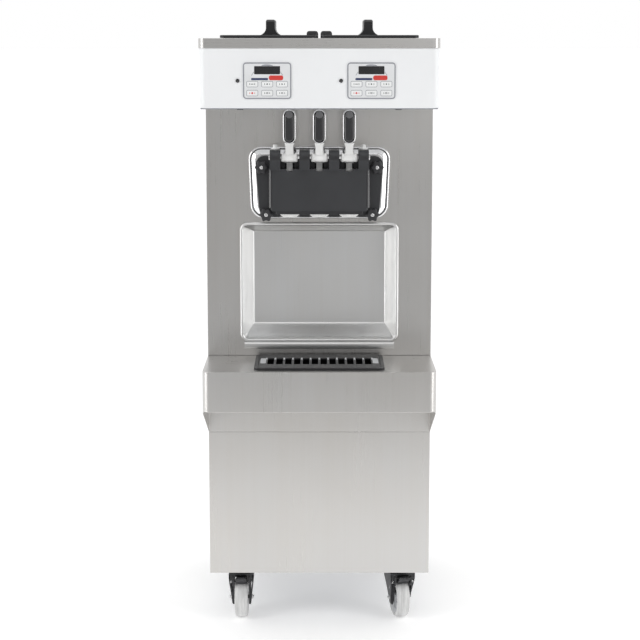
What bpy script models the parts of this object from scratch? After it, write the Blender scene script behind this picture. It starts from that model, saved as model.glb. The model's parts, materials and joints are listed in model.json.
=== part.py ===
"""Floor-standing soft serve machine: two mix hoppers, two freezing cylinders and three draw valves.

Metres, +Z up. The front faces -Y, left is -X, and the origin is on the floor under the middle of the machine.
"""

import math

import bmesh
import bpy
from mathutils import Matrix, Vector

COLLECTION = "soft_serve_machine"
ORIGIN = (0.0, 0.0, 0.0)
SIDES = {"left": -1, "right": 1}

# Sheet metal
SHEET = 0.0015
GAP = 0.0003
CLEARANCE = 0.0005
CORNER_RADIUS = 0.017

# Cabinet
BODY_WIDTH = 0.540
BODY_FRONT = -0.192
BODY_REAR = 0.4018
CABINET_BOTTOM = 0.132
POST = 0.020
PAN_BOTTOM = 0.134
PAN_DEPTH = 0.025
MOTOR_DECK = 1.004
GLAND_PLACE = (0.190, 0.180)
GLAND_RADIUS = 0.015
GLAND_STEM = 0.010
GLAND_BORE = 0.006
GLAND_REACH = 0.0062
SIDE_LOUVRES = 9
SIDE_LOUVRE_PITCH = 0.022
REAR_LOUVRES = 10
REAR_LOUVRE_PITCH = 0.024

# Drip shelf
SHELF_FRONT = -0.408
SHELF_TOP = 0.679
APRON_BOTTOM = 0.585
VALANCE_BOTTOM = 0.489
TRAY_HALF_WIDTH = 0.152
TRAY_FRONT = -0.380
TRAY_REAR = -0.205
TRAY_BOTTOM = 0.640
TRAY_RIM = 0.0045
TRAY_WALL = 0.002
TRAY_OVERHANG = 0.0065
GRILLE_LEDGE = 0.6792
GRILLE_THICKNESS = 0.0042
LEDGE_WIDTH = 0.005
GRILLE_SLOTS = 12
GRILLE_PITCH = 0.0209
GRILLE_SLOT = (0.0150, 0.075)

# Splash recess
RIM_HALF_WIDTH = 0.1855
RIM_BOTTOM = 0.718
RIM_TOP = 0.9986
RECESS_HALF_WIDTH = 0.1586
RECESS_BOTTOM = 0.7546
RECESS_TOP = 0.9785
RECESS_DEPTH = 0.030
RIM_FLANGE = 0.0055
LIP_HALF_WIDTH = 0.1805
LIP_BOTTOM = 0.697
LIP_TOP = 0.7135
LIP_REACH = 0.0115

# Head
HEAD_FRONT = -0.4025
HEAD_BOTTOM = 1.283
HEAD_WALL = 0.002
DECK_BOTTOM = 1.417
DECK_TOP = 1.439
DECK_HALF_WIDTH = 0.272
DECK_HALF_DEPTH = 0.404
PANEL_SIZE = (0.108, 0.081)
PANEL_X = 0.117
PANEL_Z = 1.3445
LAMP_X = {"left": -0.1835, "right": 0.049}
LAMP_RADIUS = 0.0045

# Hoppers and lids
HOPPER_INNER_X = 0.017
HOPPER_OUTER_X = 0.227
HOPPER_FRONT = -0.085
HOPPER_REAR = 0.285
HOPPER_BOTTOM = 1.240
HOPPER_FLANGE = 0.008
SPIGOT_Y = -0.050
SPIGOT_RADIUS = 0.014
FEED_TUBE_RADIUS = 0.009
FEED_TUBE_TOP = 1.405
LID_INNER_X = 0.003
LID_OUTER_X = 0.241
LID_FRONT = -0.100
LID_REAR = 0.300
LID_TOP = 1.446
LID_HANDLE_TOP = 1.487
LID_HANDLE_WIDTH = 0.024
LID_HANDLE_BASE = 0.073
LID_HANDLE_LENGTH = 0.120
LID_HUMP_WIDTH = 0.029
LID_HUMP_TOP = 1.457
LID_HUMP_LENGTH = 0.090

# Freezing cylinders
CYLINDER_X = 0.085
CYLINDER_Z = 1.100
CYLINDER_BORE = 0.0495
CYLINDER_OUTER = 0.056
JACKET_RADIUS = 0.070
CYLINDER_REAR = 0.150
SHAFT_RADIUS = 0.008
BEATER_RADIUS = 0.0485
GEARBOX_FRONT = 0.160

# Freezer door
FACE_PLATE_FRONT = -0.212
FACE_HALF_WIDTH = 0.171
FACE_TAPER = 0.0065
FACE_BOTTOM = 1.014
FACE_TOP = 1.186
FACE_RADIUS = 0.032
DOOR_BACK = FACE_PLATE_FRONT - GAP
WING_FRONT = -0.237
WING_HALF_WIDTH = 0.152
WING_TAPER = 0.011
WING_BOTTOM = 1.020
WING_TOP = 1.165
BLOCK_FRONT = -0.277
BLOCK_HALF_WIDTH = 0.1145
BLOCK_BOTTOM = 1.038
BLOCK_TOP = 1.137
LUG_TOP = 1.181
LUG_FRONT = -0.284
LUG_INNER_X = 0.0345
LUG_OUTER_X = 0.1035
LUG_HALF_WIDTH = 0.012

# Draw valves, one at each spout
SPOUT_X = {"left": -0.070, "centre": 0.0, "right": 0.070}
VALVE_Y = -0.2435
VALVE_RADIUS = 0.0117
VALVE_BOTTOM = 1.046
VALVE_SHOULDER = 1.135
VALVE_TOP = 1.178
SLOT_BOTTOM = 1.1535
SLOT_TOP = 1.1685
PASSAGE_Z = 1.056
PASSAGE_RADIUS = 0.006
PIN_Y = -0.268
PIN_Z = 1.163
PIN_RADIUS = 0.0039
YOKE_RADIUS = 0.010
YOKE_WIDTH = 0.040
NECK_HALF_WIDTH = 0.012
GRIP_BOTTOM = 1.195
GRIP_TOP = 1.276
GRIP_HALF_WIDTH = 0.0155
GRIP_HALF_DEPTH = 0.010
NOZZLE_RADIUS = 0.0235
NOZZLE_BOTTOM = 1.0195
PLUG_X = 0.1035
PLUG_Y = -0.248
PLUG_RADIUS = 0.0047

# Hand screws
SCREWS = {
    "top_left": (-0.136, 1.139),
    "top_right": (0.136, 1.139),
    "bottom_left": (-0.1255, 1.027),
    "bottom_right": (0.1255, 1.027),
}
KNOB_RADIUS = 0.0165
KNOB_LENGTH = 0.019
STUD_RADIUS = 0.0038

# Refrigeration
COMPRESSOR_PLACE = (-0.115, 0.080)
COMPRESSOR_RADIUS = 0.078
FAN_X = 0.095
FAN_Z = 0.300
FAN_RADIUS = 0.102
FAN_BLADES = 5
CONDENSER_FRONT = 0.300
CONDENSER_REAR = 0.350

# Casters
CASTER_X = 0.195
CASTER_FRONT_Y = -0.098
CASTER_REAR_Y = 0.320
CASTER_TRAIL = 0.030
CASTER_TURN = math.radians(12)
WHEEL_RADIUS = 0.050
WHEEL_WIDTH = 0.033
CROWN_TOP = 0.1207
CROWN_BOTTOM = 0.108
CROWN_RADIUS = 0.031
LEG_INNER = 0.0185
LEG_OUTER = 0.0225
STEM_RADIUS = 0.006
STEM_TOP = 0.1368
BEARING_RADIUS = 0.028
PEDAL_PIN = (-0.060, 0.098)

MATERIALS = {
    "brushed_stainless": ((0.60, 0.59, 0.57), 1.0, 0.32),
    "polished_stainless": ((0.78, 0.78, 0.78), 1.0, 0.12),
    "white_cover": ((0.86, 0.87, 0.88), 0.0, 0.35),
    "dark_door": ((0.065, 0.066, 0.072), 0.0, 0.38),
    "black_plastic": ((0.020, 0.020, 0.022), 0.0, 0.40),
    "white_plastic": ((0.86, 0.86, 0.85), 0.0, 0.40),
    "overlay": ((0.72, 0.73, 0.75), 0.0, 0.45),
    "black_enamel": ((0.025, 0.025, 0.027), 0.3, 0.45),
    "grey_rubber": ((0.62, 0.62, 0.62), 0.0, 0.60),
    "galvanised": ((0.50, 0.51, 0.53), 1.0, 0.45),
}


# Scene, materials and small shapes


def clear_scene():
    for obj in list(bpy.data.objects):
        bpy.data.objects.remove(obj, do_unlink=True)


def new_collection(name):
    collection = bpy.data.collections.new(name)
    bpy.context.scene.collection.children.link(collection)
    return collection


def new_material(name):
    colour, metallic, roughness = MATERIALS[name]
    material = bpy.data.materials.new(name)
    material.use_nodes = True
    shader = material.node_tree.nodes["Principled BSDF"]
    shader.inputs["Base Color"].default_value = (*colour, 1.0)
    shader.inputs["Metallic"].default_value = metallic
    shader.inputs["Roughness"].default_value = roughness
    material.diffuse_color = (*colour, 1.0)
    return material


def add_object(name, mesh, finish, origin=ORIGIN):
    """A part with this finish or, with none, a cutter or filler that only a Boolean reads."""
    mesh.transform(Matrix.Translation(-Vector(origin)))
    obj = bpy.data.objects.new(name, mesh)
    obj.location = origin
    if finish:
        mesh.materials.append(bpy.data.materials.get(finish) or new_material(finish))
        bpy.data.collections[COLLECTION].objects.link(obj)
        mesh.shade_smooth()
        mesh.set_sharp_from_angle(angle=math.radians(35))
    else:
        bpy.data.collections["cutters"].objects.link(obj)
        obj.hide_render = True
        obj.display_type = "WIRE"
    return obj


def mesh_from(name, bm):
    bmesh.ops.recalc_face_normals(bm, faces=bm.faces)
    mesh = bpy.data.meshes.new(name)
    bm.to_mesh(mesh)
    bm.free()
    return mesh


def box_matrix(low, high):
    """Takes a unit cube to the box between two corners."""
    low, high = Vector(low), Vector(high)
    return Matrix.Translation((low + high) / 2) @ Matrix.Diagonal((*(high - low), 1.0))


def box_bmesh(low, high):
    bm = bmesh.new()
    bmesh.ops.create_cube(bm, size=1.0, matrix=box_matrix(low, high))
    return bm


def box(name, low, high, finish=None, origin=ORIGIN):
    return add_object(name, mesh_from(name, box_bmesh(low, high)), finish, origin)


def edges_along(bm, axis, wanted=None):
    """The edges parallel to this axis, or those of them whose middle is wanted."""
    found = []
    for edge in bm.edges:
        run = (edge.verts[1].co - edge.verts[0].co).normalized()
        middle = (edge.verts[0].co + edge.verts[1].co) / 2
        if abs(run[axis]) > 0.999 and (wanted is None or wanted(middle)):
            found.append(edge)
    return found


def rounded_box(name, low, high, axis, radius, finish=None, wanted=None, origin=ORIGIN, steps=4):
    """A box whose edges along one axis are rounded, all of them or the wanted ones."""
    bm = box_bmesh(low, high)
    edges = edges_along(bm, axis, wanted)
    bmesh.ops.bevel(bm, geom=edges, offset=radius, segments=steps, profile=0.5, affect="EDGES")
    return add_object(name, mesh_from(name, bm), finish, origin)


def boxes(name, corners):
    """One cutter or filler made of several boxes that don't touch."""
    bm = bmesh.new()
    for low, high in corners:
        bmesh.ops.create_cube(bm, size=1.0, matrix=box_matrix(low, high))
    return add_object(name, mesh_from(name, bm), None)


def rod(name, start, end, radius, sides=20, finish=None, origin=ORIGIN, end_radius=None):
    """A cylinder or, with an end radius, a cone between two points."""
    start, end = Vector(start), Vector(end)
    run = end - start
    turn = run.to_track_quat("Z", "Y").to_matrix().to_4x4()
    bm = bmesh.new()
    bmesh.ops.create_cone(
        bm,
        cap_ends=True,
        segments=sides,
        radius1=radius,
        radius2=radius if end_radius is None else end_radius,
        depth=run.length,
        matrix=Matrix.Translation((start + end) / 2) @ turn,
    )
    return add_object(name, mesh_from(name, bm), finish, origin)


def plate(name, outline, near, far, finish=None, plane="XZ", origin=ORIGIN):
    """A flat outline given thickness: from near to far along Y, or along X or Z in plane YZ or XY."""
    curve = bpy.data.curves.new(name, "CURVE")
    curve.dimensions = "2D"
    curve.fill_mode = "BOTH"
    curve.extrude = abs(far - near) / 2
    spline = curve.splines.new("POLY")
    spline.points.add(len(outline) - 1)
    spline.use_cyclic_u = True
    for point, (across, up) in zip(spline.points, outline):
        point.co = (across, up, 0.0, 1.0)
    guide = bpy.data.objects.new(name + "_outline", curve)
    bpy.context.scene.collection.objects.link(guide)
    middle = (near + far) / 2
    axes = {
        "XZ": ((1, 0, 0), (0, 0, 1), (0, -1, 0), (0, middle, 0)),
        "YZ": ((0, 1, 0), (0, 0, 1), (1, 0, 0), (middle, 0, 0)),
        "XY": ((1, 0, 0), (0, 1, 0), (0, 0, 1), (0, 0, middle)),
    }[plane]
    place = Matrix([(*axis, 0) for axis in axes[:3]] + [(*axes[3], 1)]).transposed()
    graph = bpy.context.evaluated_depsgraph_get()
    bm = bmesh.new()
    filled = bpy.data.meshes.new_from_object(guide.evaluated_get(graph))
    bm.from_mesh(filled)
    bmesh.ops.remove_doubles(bm, verts=bm.verts, dist=1e-5)
    bm.transform(place)
    bpy.data.objects.remove(guide, do_unlink=True)
    return add_object(name, mesh_from(name, bm), finish, origin)


def turned(name, profile, place, direction="Z", finish=None, sides=24):
    """A profile of (radius, height), down its outer side, swept round an axis from its place."""
    closed = profile[0][0] > 0 and profile[-1][0] > 0
    mesh = bpy.data.meshes.new(name)
    points = [(radius, 0.0, height) for radius, height in profile]
    edges = [(i, i + 1) for i in range(len(points) - 1)]
    if closed:
        edges.append((len(points) - 1, 0))
    mesh.from_pydata(points, edges, [])
    obj = add_object(name, mesh, finish)
    obj.location = place
    obj.rotation_euler = {"Z": (0, 0, 0), "X": (0, math.pi / 2, 0), "-Y": (math.pi / 2, 0, 0)}[direction]
    screw = obj.modifiers.new("turn", "SCREW")
    screw.axis = "Z"
    screw.steps = sides
    screw.render_steps = sides
    screw.use_merge_vertices = True
    screw.merge_threshold = 1e-5
    screw.use_smooth_shade = True
    return obj


def rounded_outline(corners, radius, steps=4):
    """A polygon's points with each corner replaced by an arc."""
    points = []
    for i, corner in enumerate(corners):
        here = Vector(corner)
        before = (Vector(corners[i - 1]) - here).normalized()
        after = (Vector(corners[(i + 1) % len(corners)]) - here).normalized()
        half = before.angle(after) / 2
        reach = radius / math.tan(half)
        centre = here + (before + after).normalized() * radius / math.sin(half)
        first = here + before * reach - centre
        last = here + after * reach - centre
        turn = first.angle_signed(last)
        for step in range(steps + 1):
            angle = -turn * step / steps
            arm = Matrix.Rotation(angle, 2) @ first
            points.append(tuple(centre + arm))
    return points


def rectangle(half_width, bottom, top, taper=0.0):
    """Corners of an upright shape, narrower at the bottom by the taper on each side."""
    low = half_width - taper
    return [(-low, bottom), (low, bottom), (half_width, top), (-half_width, top)]


def lobed_outline(mean_radius, depth, lobes, points, centre=(0.0, 0.0)):
    outline = []
    for i in range(points):
        angle = 2 * math.pi * i / points
        radius = mean_radius + depth * math.cos(lobes * angle)
        outline.append((centre[0] + radius * math.cos(angle), centre[1] + radius * math.sin(angle)))
    return outline


def combine(obj, operation, others):
    for other in others:
        modifier = obj.modifiers.new(operation.lower(), "BOOLEAN")
        modifier.operation = operation
        modifier.solver = "EXACT"
        modifier.object = other
    return obj


def cut(obj, *others):
    return combine(obj, "DIFFERENCE", others)


def join(obj, *others):
    return combine(obj, "UNION", others)


# Cabinet


def make_base_frame():
    half = BODY_WIDTH / 2 - 0.0035
    front = BODY_FRONT + SHEET + CLEARANCE
    rear = BODY_REAR - SHEET - 0.002
    low = PAN_BOTTOM
    frame = box("base_frame", (-half, front, low), (half, rear, low + PAN_DEPTH), "galvanised")
    floor = low + 0.003
    wall = 0.003
    pan_low = (-half + wall, front + wall, floor)
    pan_high = (half - wall, rear - wall, low + 2 * PAN_DEPTH)
    cut(frame, box("base_pan_space", pan_low, pan_high))
    top = DECK_BOTTOM - 0.002
    posts = []
    for x in (-half, half - POST):
        for y in (front, rear - POST):
            posts.append(((x, y, low + 0.001), (x + POST, y + POST, top)))
    deck_low = (-half + 0.001, 0.120, MOTOR_DECK)
    deck_high = (half - 0.001, rear - 0.001, MOTOR_DECK + 0.003)
    deck = box("motor_deck", deck_low, deck_high)
    rails = []
    for z in (0.640, 1.380):
        rails.append(((-half + 0.001, rear - POST + 0.001, z), (half - 0.001, rear - 0.001, z + POST)))
    join(frame, boxes("posts", posts), deck, boxes("rear_rails", rails))
    for name, x, y in caster_places():
        below, above = (x, y, low - 0.01), (x, y, floor + 0.01)
        cut(frame, rod("stem_hole_" + name, below, above, STEM_RADIUS + CLEARANCE, sides=12))


def make_side_panels():
    inner = BODY_WIDTH / 2 - SHEET
    outer = BODY_WIDTH / 2
    for side, sign in SIDES.items():
        low = (min(sign * inner, sign * outer), BODY_FRONT + SHEET + GAP, CABINET_BOTTOM)
        high = (max(sign * inner, sign * outer), BODY_REAR - SHEET - GAP, DECK_BOTTOM - GAP)
        panel = box("side_panel_" + side, low, high, "brushed_stainless")
        slots = []
        for i in range(SIDE_LOUVRES):
            z = 0.210 + SIDE_LOUVRE_PITCH * i
            slots.append(((sign * outer - 0.005, 0.080, z), (sign * outer + 0.005, 0.320, z + 0.008)))
        cut(panel, boxes("side_vents_" + side, slots))


def make_rear_panel():
    half = BODY_WIDTH / 2
    panel = box(
        "rear_panel",
        (-half, BODY_REAR - SHEET, CABINET_BOTTOM),
        (half, BODY_REAR, DECK_BOTTOM - GAP),
        "brushed_stainless",
    )
    slots = []
    for x in (-0.130, 0.020):
        for i in range(REAR_LOUVRES):
            z = 0.200 + REAR_LOUVRE_PITCH * i
            slots.append(((x, BODY_REAR - 0.01, z), (x + 0.125, BODY_REAR + 0.01, z + 0.009)))
    gland_x, gland_z = GLAND_PLACE
    near, far = (gland_x, BODY_REAR - 0.02, gland_z), (gland_x, BODY_REAR + 0.02, gland_z)
    hole = rod("gland_hole", near, far, GLAND_STEM + CLEARANCE, sides=16)
    cut(panel, boxes("rear_vents", slots), hole)


def make_front_panels():
    half = BODY_WIDTH / 2
    box(
        "lower_front_panel",
        (-half, BODY_FRONT, CABINET_BOTTOM),
        (half, BODY_FRONT + SHEET, VALANCE_BOTTOM - GAP),
        "brushed_stainless",
    )
    upper = box(
        "upper_front_panel",
        (-half, BODY_FRONT, SHELF_TOP + GAP),
        (half, BODY_FRONT + SHEET, DECK_BOTTOM - GAP),
        "brushed_stainless",
    )
    room = 0.0025
    corners = rectangle(RIM_HALF_WIDTH + room, RIM_BOTTOM - room, RIM_TOP + room)
    opening = plate("splash_opening", rounded_outline(corners, 0.012), BODY_FRONT - 0.01, BODY_FRONT + 0.01)
    cut(upper, opening)
    for side, sign in SIDES.items():
        x = sign * CYLINDER_X
        near = (x, BODY_FRONT - 0.01, CYLINDER_Z)
        far = (x, BODY_FRONT + 0.01, CYLINDER_Z)
        cut(upper, rod("panel_bore_" + side, near, far, CYLINDER_OUTER + 0.001, sides=20))


def make_cable_gland():
    x, z = GLAND_PLACE
    profile = [(GLAND_RADIUS, GLAND_REACH), (GLAND_RADIUS, GAP), (GLAND_STEM, GAP), (GLAND_STEM, -0.010)]
    profile += [(GLAND_BORE, -0.010), (GLAND_BORE, GLAND_REACH)]
    gland = turned("cable_gland", profile, (x, BODY_REAR, z), "-Y", "black_plastic", sides=16)
    gland.rotation_euler = (-math.pi / 2, 0, 0)


# Drip shelf, tray and splash panel


def make_drip_shelf():
    half = BODY_WIDTH / 2
    back = BODY_FRONT - CLEARANCE
    profile = [(SHELF_FRONT, SHELF_TOP), (SHELF_FRONT, APRON_BOTTOM)]
    profile += [(back, VALANCE_BOTTOM), (back, SHELF_TOP)]
    shelf = plate("drip_shelf", profile, -half, half, "brushed_stainless", "YZ")
    bevel_front_corners(shelf, CORNER_RADIUS)
    inner = [
        (SHELF_FRONT + SHEET, SHELF_TOP - SHEET),
        (SHELF_FRONT + SHEET, APRON_BOTTOM - 0.1),
        (back - SHEET, VALANCE_BOTTOM - 0.1),
        (back - SHEET, SHELF_TOP - SHEET),
    ]
    space = plate("shelf_space", inner, -half + SHEET, half - SHEET, None, "YZ")
    bevel_front_corners(space, CORNER_RADIUS - SHEET)
    half_hole = TRAY_HALF_WIDTH - TRAY_OVERHANG + CLEARANCE
    hole = rounded_box(
        "tray_hole",
        (-half_hole, TRAY_FRONT + TRAY_OVERHANG - CLEARANCE, SHELF_TOP - 0.02),
        (half_hole, TRAY_REAR - TRAY_OVERHANG + CLEARANCE, SHELF_TOP + 0.02),
        2,
        0.008,
    )
    cut(shelf, space, hole)


def bevel_front_corners(obj, radius):
    """Rounds the two upright edges at the front."""
    bm = bmesh.new()
    bm.from_mesh(obj.data)
    front = min(vert.co.y for vert in bm.verts)
    edges = edges_along(bm, 2, lambda middle: abs(middle.y - front) < 1e-4)
    bmesh.ops.bevel(bm, geom=edges, offset=radius, segments=5, profile=0.5, affect="EDGES")
    bm.to_mesh(obj.data)
    bm.free()
    obj.data.update()


def make_drip_tray():
    origin = (0.0, (TRAY_FRONT + TRAY_REAR) / 2, SHELF_TOP)
    rim_low = SHELF_TOP + GAP
    tray = rounded_box(
        "drip_tray",
        (-TRAY_HALF_WIDTH, TRAY_FRONT, rim_low),
        (TRAY_HALF_WIDTH, TRAY_REAR, rim_low + TRAY_RIM),
        2,
        0.012,
        "black_plastic",
        origin=origin,
    )
    half = TRAY_HALF_WIDTH - TRAY_OVERHANG
    front = TRAY_FRONT + TRAY_OVERHANG
    rear = TRAY_REAR - TRAY_OVERHANG
    basin = rounded_box("tray_basin", (-half, front, TRAY_BOTTOM), (half, rear, rim_low + 0.001), 2, 0.008)
    upper = rounded_box(
        "grille_seat",
        (-half + TRAY_WALL, front + TRAY_WALL, GRILLE_LEDGE),
        (half - TRAY_WALL, rear - TRAY_WALL, rim_low + 0.01),
        2,
        0.006,
    )
    seat = TRAY_WALL + LEDGE_WIDTH
    lower = box(
        "tray_space",
        (-half + seat, front + seat, TRAY_BOTTOM + TRAY_WALL),
        (half - seat, rear - seat, GRILLE_LEDGE + 0.001),
    )
    join(tray, basin)
    cut(tray, upper, lower)


def make_drip_grille():
    half = TRAY_HALF_WIDTH - TRAY_OVERHANG - TRAY_WALL - CLEARANCE
    front = TRAY_FRONT + TRAY_OVERHANG + TRAY_WALL + CLEARANCE
    rear = TRAY_REAR - TRAY_OVERHANG - TRAY_WALL - CLEARANCE
    middle = (front + rear) / 2
    grille = rounded_box(
        "drip_grille",
        (-half, front, GRILLE_LEDGE + GAP),
        (half, rear, GRILLE_LEDGE + GAP + GRILLE_THICKNESS),
        2,
        0.0055,
        "black_plastic",
        origin=(0.0, middle, GRILLE_LEDGE),
    )
    slots = []
    width, length = GRILLE_SLOT
    for i in range(GRILLE_SLOTS):
        x = (i - (GRILLE_SLOTS - 1) / 2) * GRILLE_PITCH
        low = (x - width / 2, middle - length / 2, GRILLE_LEDGE - 0.01)
        slots.append((low, (x + width / 2, middle + length / 2, GRILLE_LEDGE + 0.01)))
    cut(grille, boxes("grille_slots", slots))


def frustum(name, front, back, front_y, back_y, radius):
    """A block that narrows from front to back, each end given as (half width, bottom, top)."""
    bm = box_bmesh((-1.0, front_y, 0.0), (1.0, back_y, 1.0))
    for vert in bm.verts:
        half, bottom, top = front if abs(vert.co.y - front_y) < 1e-6 else back
        vert.co.x = math.copysign(half, vert.co.x)
        vert.co.z = top if vert.co.z > 0.5 else bottom
    slanted = []
    for edge in bm.edges:
        if abs(edge.verts[0].co.y - edge.verts[1].co.y) > 1e-6:
            slanted.append(edge)
    bmesh.ops.bevel(bm, geom=slanted, offset=radius, segments=4, profile=0.5, affect="EDGES")
    return add_object(name, mesh_from(name, bm), None)


def make_splash_panel():
    back_of_flange = BODY_FRONT - GAP
    corners = rectangle(RIM_HALF_WIDTH + RIM_FLANGE, RIM_BOTTOM - RIM_FLANGE, RIM_TOP + RIM_FLANGE)
    panel = plate(
        "splash_panel",
        rounded_outline(corners, 0.016),
        back_of_flange,
        back_of_flange - SHEET,
        "brushed_stainless",
    )
    rim = (RIM_HALF_WIDTH + SHEET, RIM_BOTTOM - SHEET, RIM_TOP + SHEET)
    recess = (RECESS_HALF_WIDTH + SHEET, RECESS_BOTTOM - SHEET, RECESS_TOP + SHEET)
    floor_y = BODY_FRONT + RECESS_DEPTH
    outer = frustum("recess_outside", rim, recess, back_of_flange - SHEET / 2, floor_y + SHEET, 0.010)
    rim = (RIM_HALF_WIDTH, RIM_BOTTOM, RIM_TOP)
    recess = (RECESS_HALF_WIDTH, RECESS_BOTTOM, RECESS_TOP)
    inner = frustum("recess_inside", rim, recess, back_of_flange - 2 * SHEET, floor_y, 0.010)
    lip = rounded_box(
        "splash_lip",
        (-LIP_HALF_WIDTH, back_of_flange - LIP_REACH, LIP_BOTTOM),
        (LIP_HALF_WIDTH, back_of_flange, LIP_TOP),
        1,
        0.005,
        wanted=lambda middle: middle.z < LIP_BOTTOM + 0.001,
    )
    join(panel, outer, lip)
    cut(panel, inner)


# Head


def make_head_cover():
    half = BODY_WIDTH / 2 + 0.0015
    back = BODY_FRONT - CLEARANCE

    def front_only(middle):
        return middle.y < HEAD_FRONT + 0.01

    cover = rounded_box(
        "head_cover",
        (-half, HEAD_FRONT, HEAD_BOTTOM),
        (half, back, DECK_BOTTOM - GAP),
        2,
        CORNER_RADIUS,
        "white_cover",
        front_only,
        steps=5,
    )
    space = rounded_box(
        "head_space",
        (-half + HEAD_WALL, HEAD_FRONT + HEAD_WALL, HEAD_BOTTOM + HEAD_WALL),
        (half - HEAD_WALL, back + 0.02, DECK_BOTTOM + 0.02),
        2,
        CORNER_RADIUS - HEAD_WALL,
        wanted=front_only,
        steps=5,
    )
    cut(cover, space)


def make_top_deck():
    deck = rounded_box(
        "top_deck",
        (-DECK_HALF_WIDTH, -DECK_HALF_DEPTH, DECK_BOTTOM),
        (DECK_HALF_WIDTH, DECK_HALF_DEPTH, DECK_TOP),
        2,
        CORNER_RADIUS,
        "brushed_stainless",
        steps=5,
    )
    inside = rounded_box(
        "deck_space",
        (-DECK_HALF_WIDTH + SHEET, -DECK_HALF_DEPTH + SHEET, DECK_BOTTOM - 0.01),
        (DECK_HALF_WIDTH - SHEET, DECK_HALF_DEPTH - SHEET, DECK_TOP - SHEET),
        2,
        CORNER_RADIUS - SHEET,
        steps=5,
    )
    cut(deck, inside)
    for side, sign in SIDES.items():
        low_x, high_x = sorted((sign * (HOPPER_INNER_X - CLEARANCE), sign * (HOPPER_OUTER_X + CLEARANCE)))
        hole = box(
            "hopper_hole_" + side,
            (low_x, HOPPER_FRONT - CLEARANCE, DECK_TOP - 0.01),
            (high_x, HOPPER_REAR + CLEARANCE, DECK_TOP + 0.01),
        )
        cut(deck, hole)


def make_control_panels():
    width, height = PANEL_SIZE
    back = HEAD_FRONT - GAP
    lamp = [(0.0, 0.0032), (0.0025, 0.0028), (0.0036, 0.0016)]
    lamp += [(LAMP_RADIUS, 0.0014), (LAMP_RADIUS, 0.0), (0.0, 0.0)]
    for side, sign in SIDES.items():
        centre = sign * PANEL_X
        corners = []
        for x, z in rectangle(width / 2, PANEL_Z - height / 2, PANEL_Z + height / 2):
            corners.append((centre + x, z))
        plate("control_panel_" + side, rounded_outline(corners, 0.007), back, back - SHEET, "overlay")
        turned("indicator_lamp_" + side, lamp, (LAMP_X[side], back, PANEL_Z), "-Y", "black_plastic", sides=16)


# Hoppers


def make_hoppers():
    for side, sign in SIDES.items():
        low_x, high_x = sorted((sign * HOPPER_INNER_X, sign * HOPPER_OUTER_X))
        flange_z = DECK_TOP + GAP
        flange_top = flange_z + SHEET
        hopper = rounded_box(
            "hopper_" + side,
            (low_x - HOPPER_FLANGE, HOPPER_FRONT - HOPPER_FLANGE, flange_z),
            (high_x + HOPPER_FLANGE, HOPPER_REAR + HOPPER_FLANGE, flange_top),
            2,
            0.010,
            "polished_stainless",
        )
        tub_low = (low_x, HOPPER_FRONT, HOPPER_BOTTOM)
        tub = box("tub_" + side, tub_low, (high_x, HOPPER_REAR, flange_top - 0.0005))
        spigot_x = sign * CYLINDER_X
        top_of_jacket = CYLINDER_Z + JACKET_RADIUS + GAP
        start = (spigot_x, SPIGOT_Y, top_of_jacket)
        spigot = rod("spigot_" + side, start, (spigot_x, SPIGOT_Y, HOPPER_BOTTOM + 0.001), SPIGOT_RADIUS)
        bore = rod(
            "spigot_bore_" + side,
            (spigot_x, SPIGOT_Y, top_of_jacket - 0.01),
            (spigot_x, SPIGOT_Y, HOPPER_BOTTOM + 0.01),
            FEED_TUBE_RADIUS + 0.0008,
            sides=16,
        )
        space = rounded_box(
            "hopper_space_" + side,
            (low_x + SHEET, HOPPER_FRONT + SHEET, HOPPER_BOTTOM + SHEET),
            (high_x - SHEET, HOPPER_REAR - SHEET, flange_top + 0.01),
            2,
            0.015,
        )
        join(hopper, tub, spigot)
        cut(hopper, space, bore)


def make_feed_tubes():
    """The tube that lets mix and air down to the cylinder. Its collar rests on the hopper's floor."""
    floor = HOPPER_BOTTOM + SHEET + GAP
    top = FEED_TUBE_TOP - floor
    bore = FEED_TUBE_RADIUS - 0.0015
    profile = [
        (FEED_TUBE_RADIUS, top),
        (FEED_TUBE_RADIUS, 0.006),
        (0.014, 0.006),
        (0.014, 0.0),
        (FEED_TUBE_RADIUS, 0.0),
        (FEED_TUBE_RADIUS, -0.040),
        (bore, -0.040),
        (bore, top),
    ]
    for side, sign in SIDES.items():
        place = (sign * CYLINDER_X, SPIGOT_Y, floor)
        turned("feed_tube_" + side, profile, place, "Z", "polished_stainless", sides=12)


def lid_handle_outline(centre):
    """A fin with a concave foot on each side, and a rounded top."""
    half = LID_HANDLE_WIDTH / 2
    foot = LID_HANDLE_BASE / 2 - half
    base = LID_TOP - 0.001
    steps = 5
    right = [(half + foot, base)]
    for i in range(1, steps + 1):
        angle = math.pi / 2 * i / steps
        right.append((half + foot * (1 - math.sin(angle)), base + 0.002 + foot * (1 - math.cos(angle))))
    right.append((half, LID_HANDLE_TOP - 0.004))
    right.append((half - 0.004, LID_HANDLE_TOP))
    left = [(-x, z) for x, z in reversed(right)]
    return [(centre + x, z) for x, z in right + left]


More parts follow.
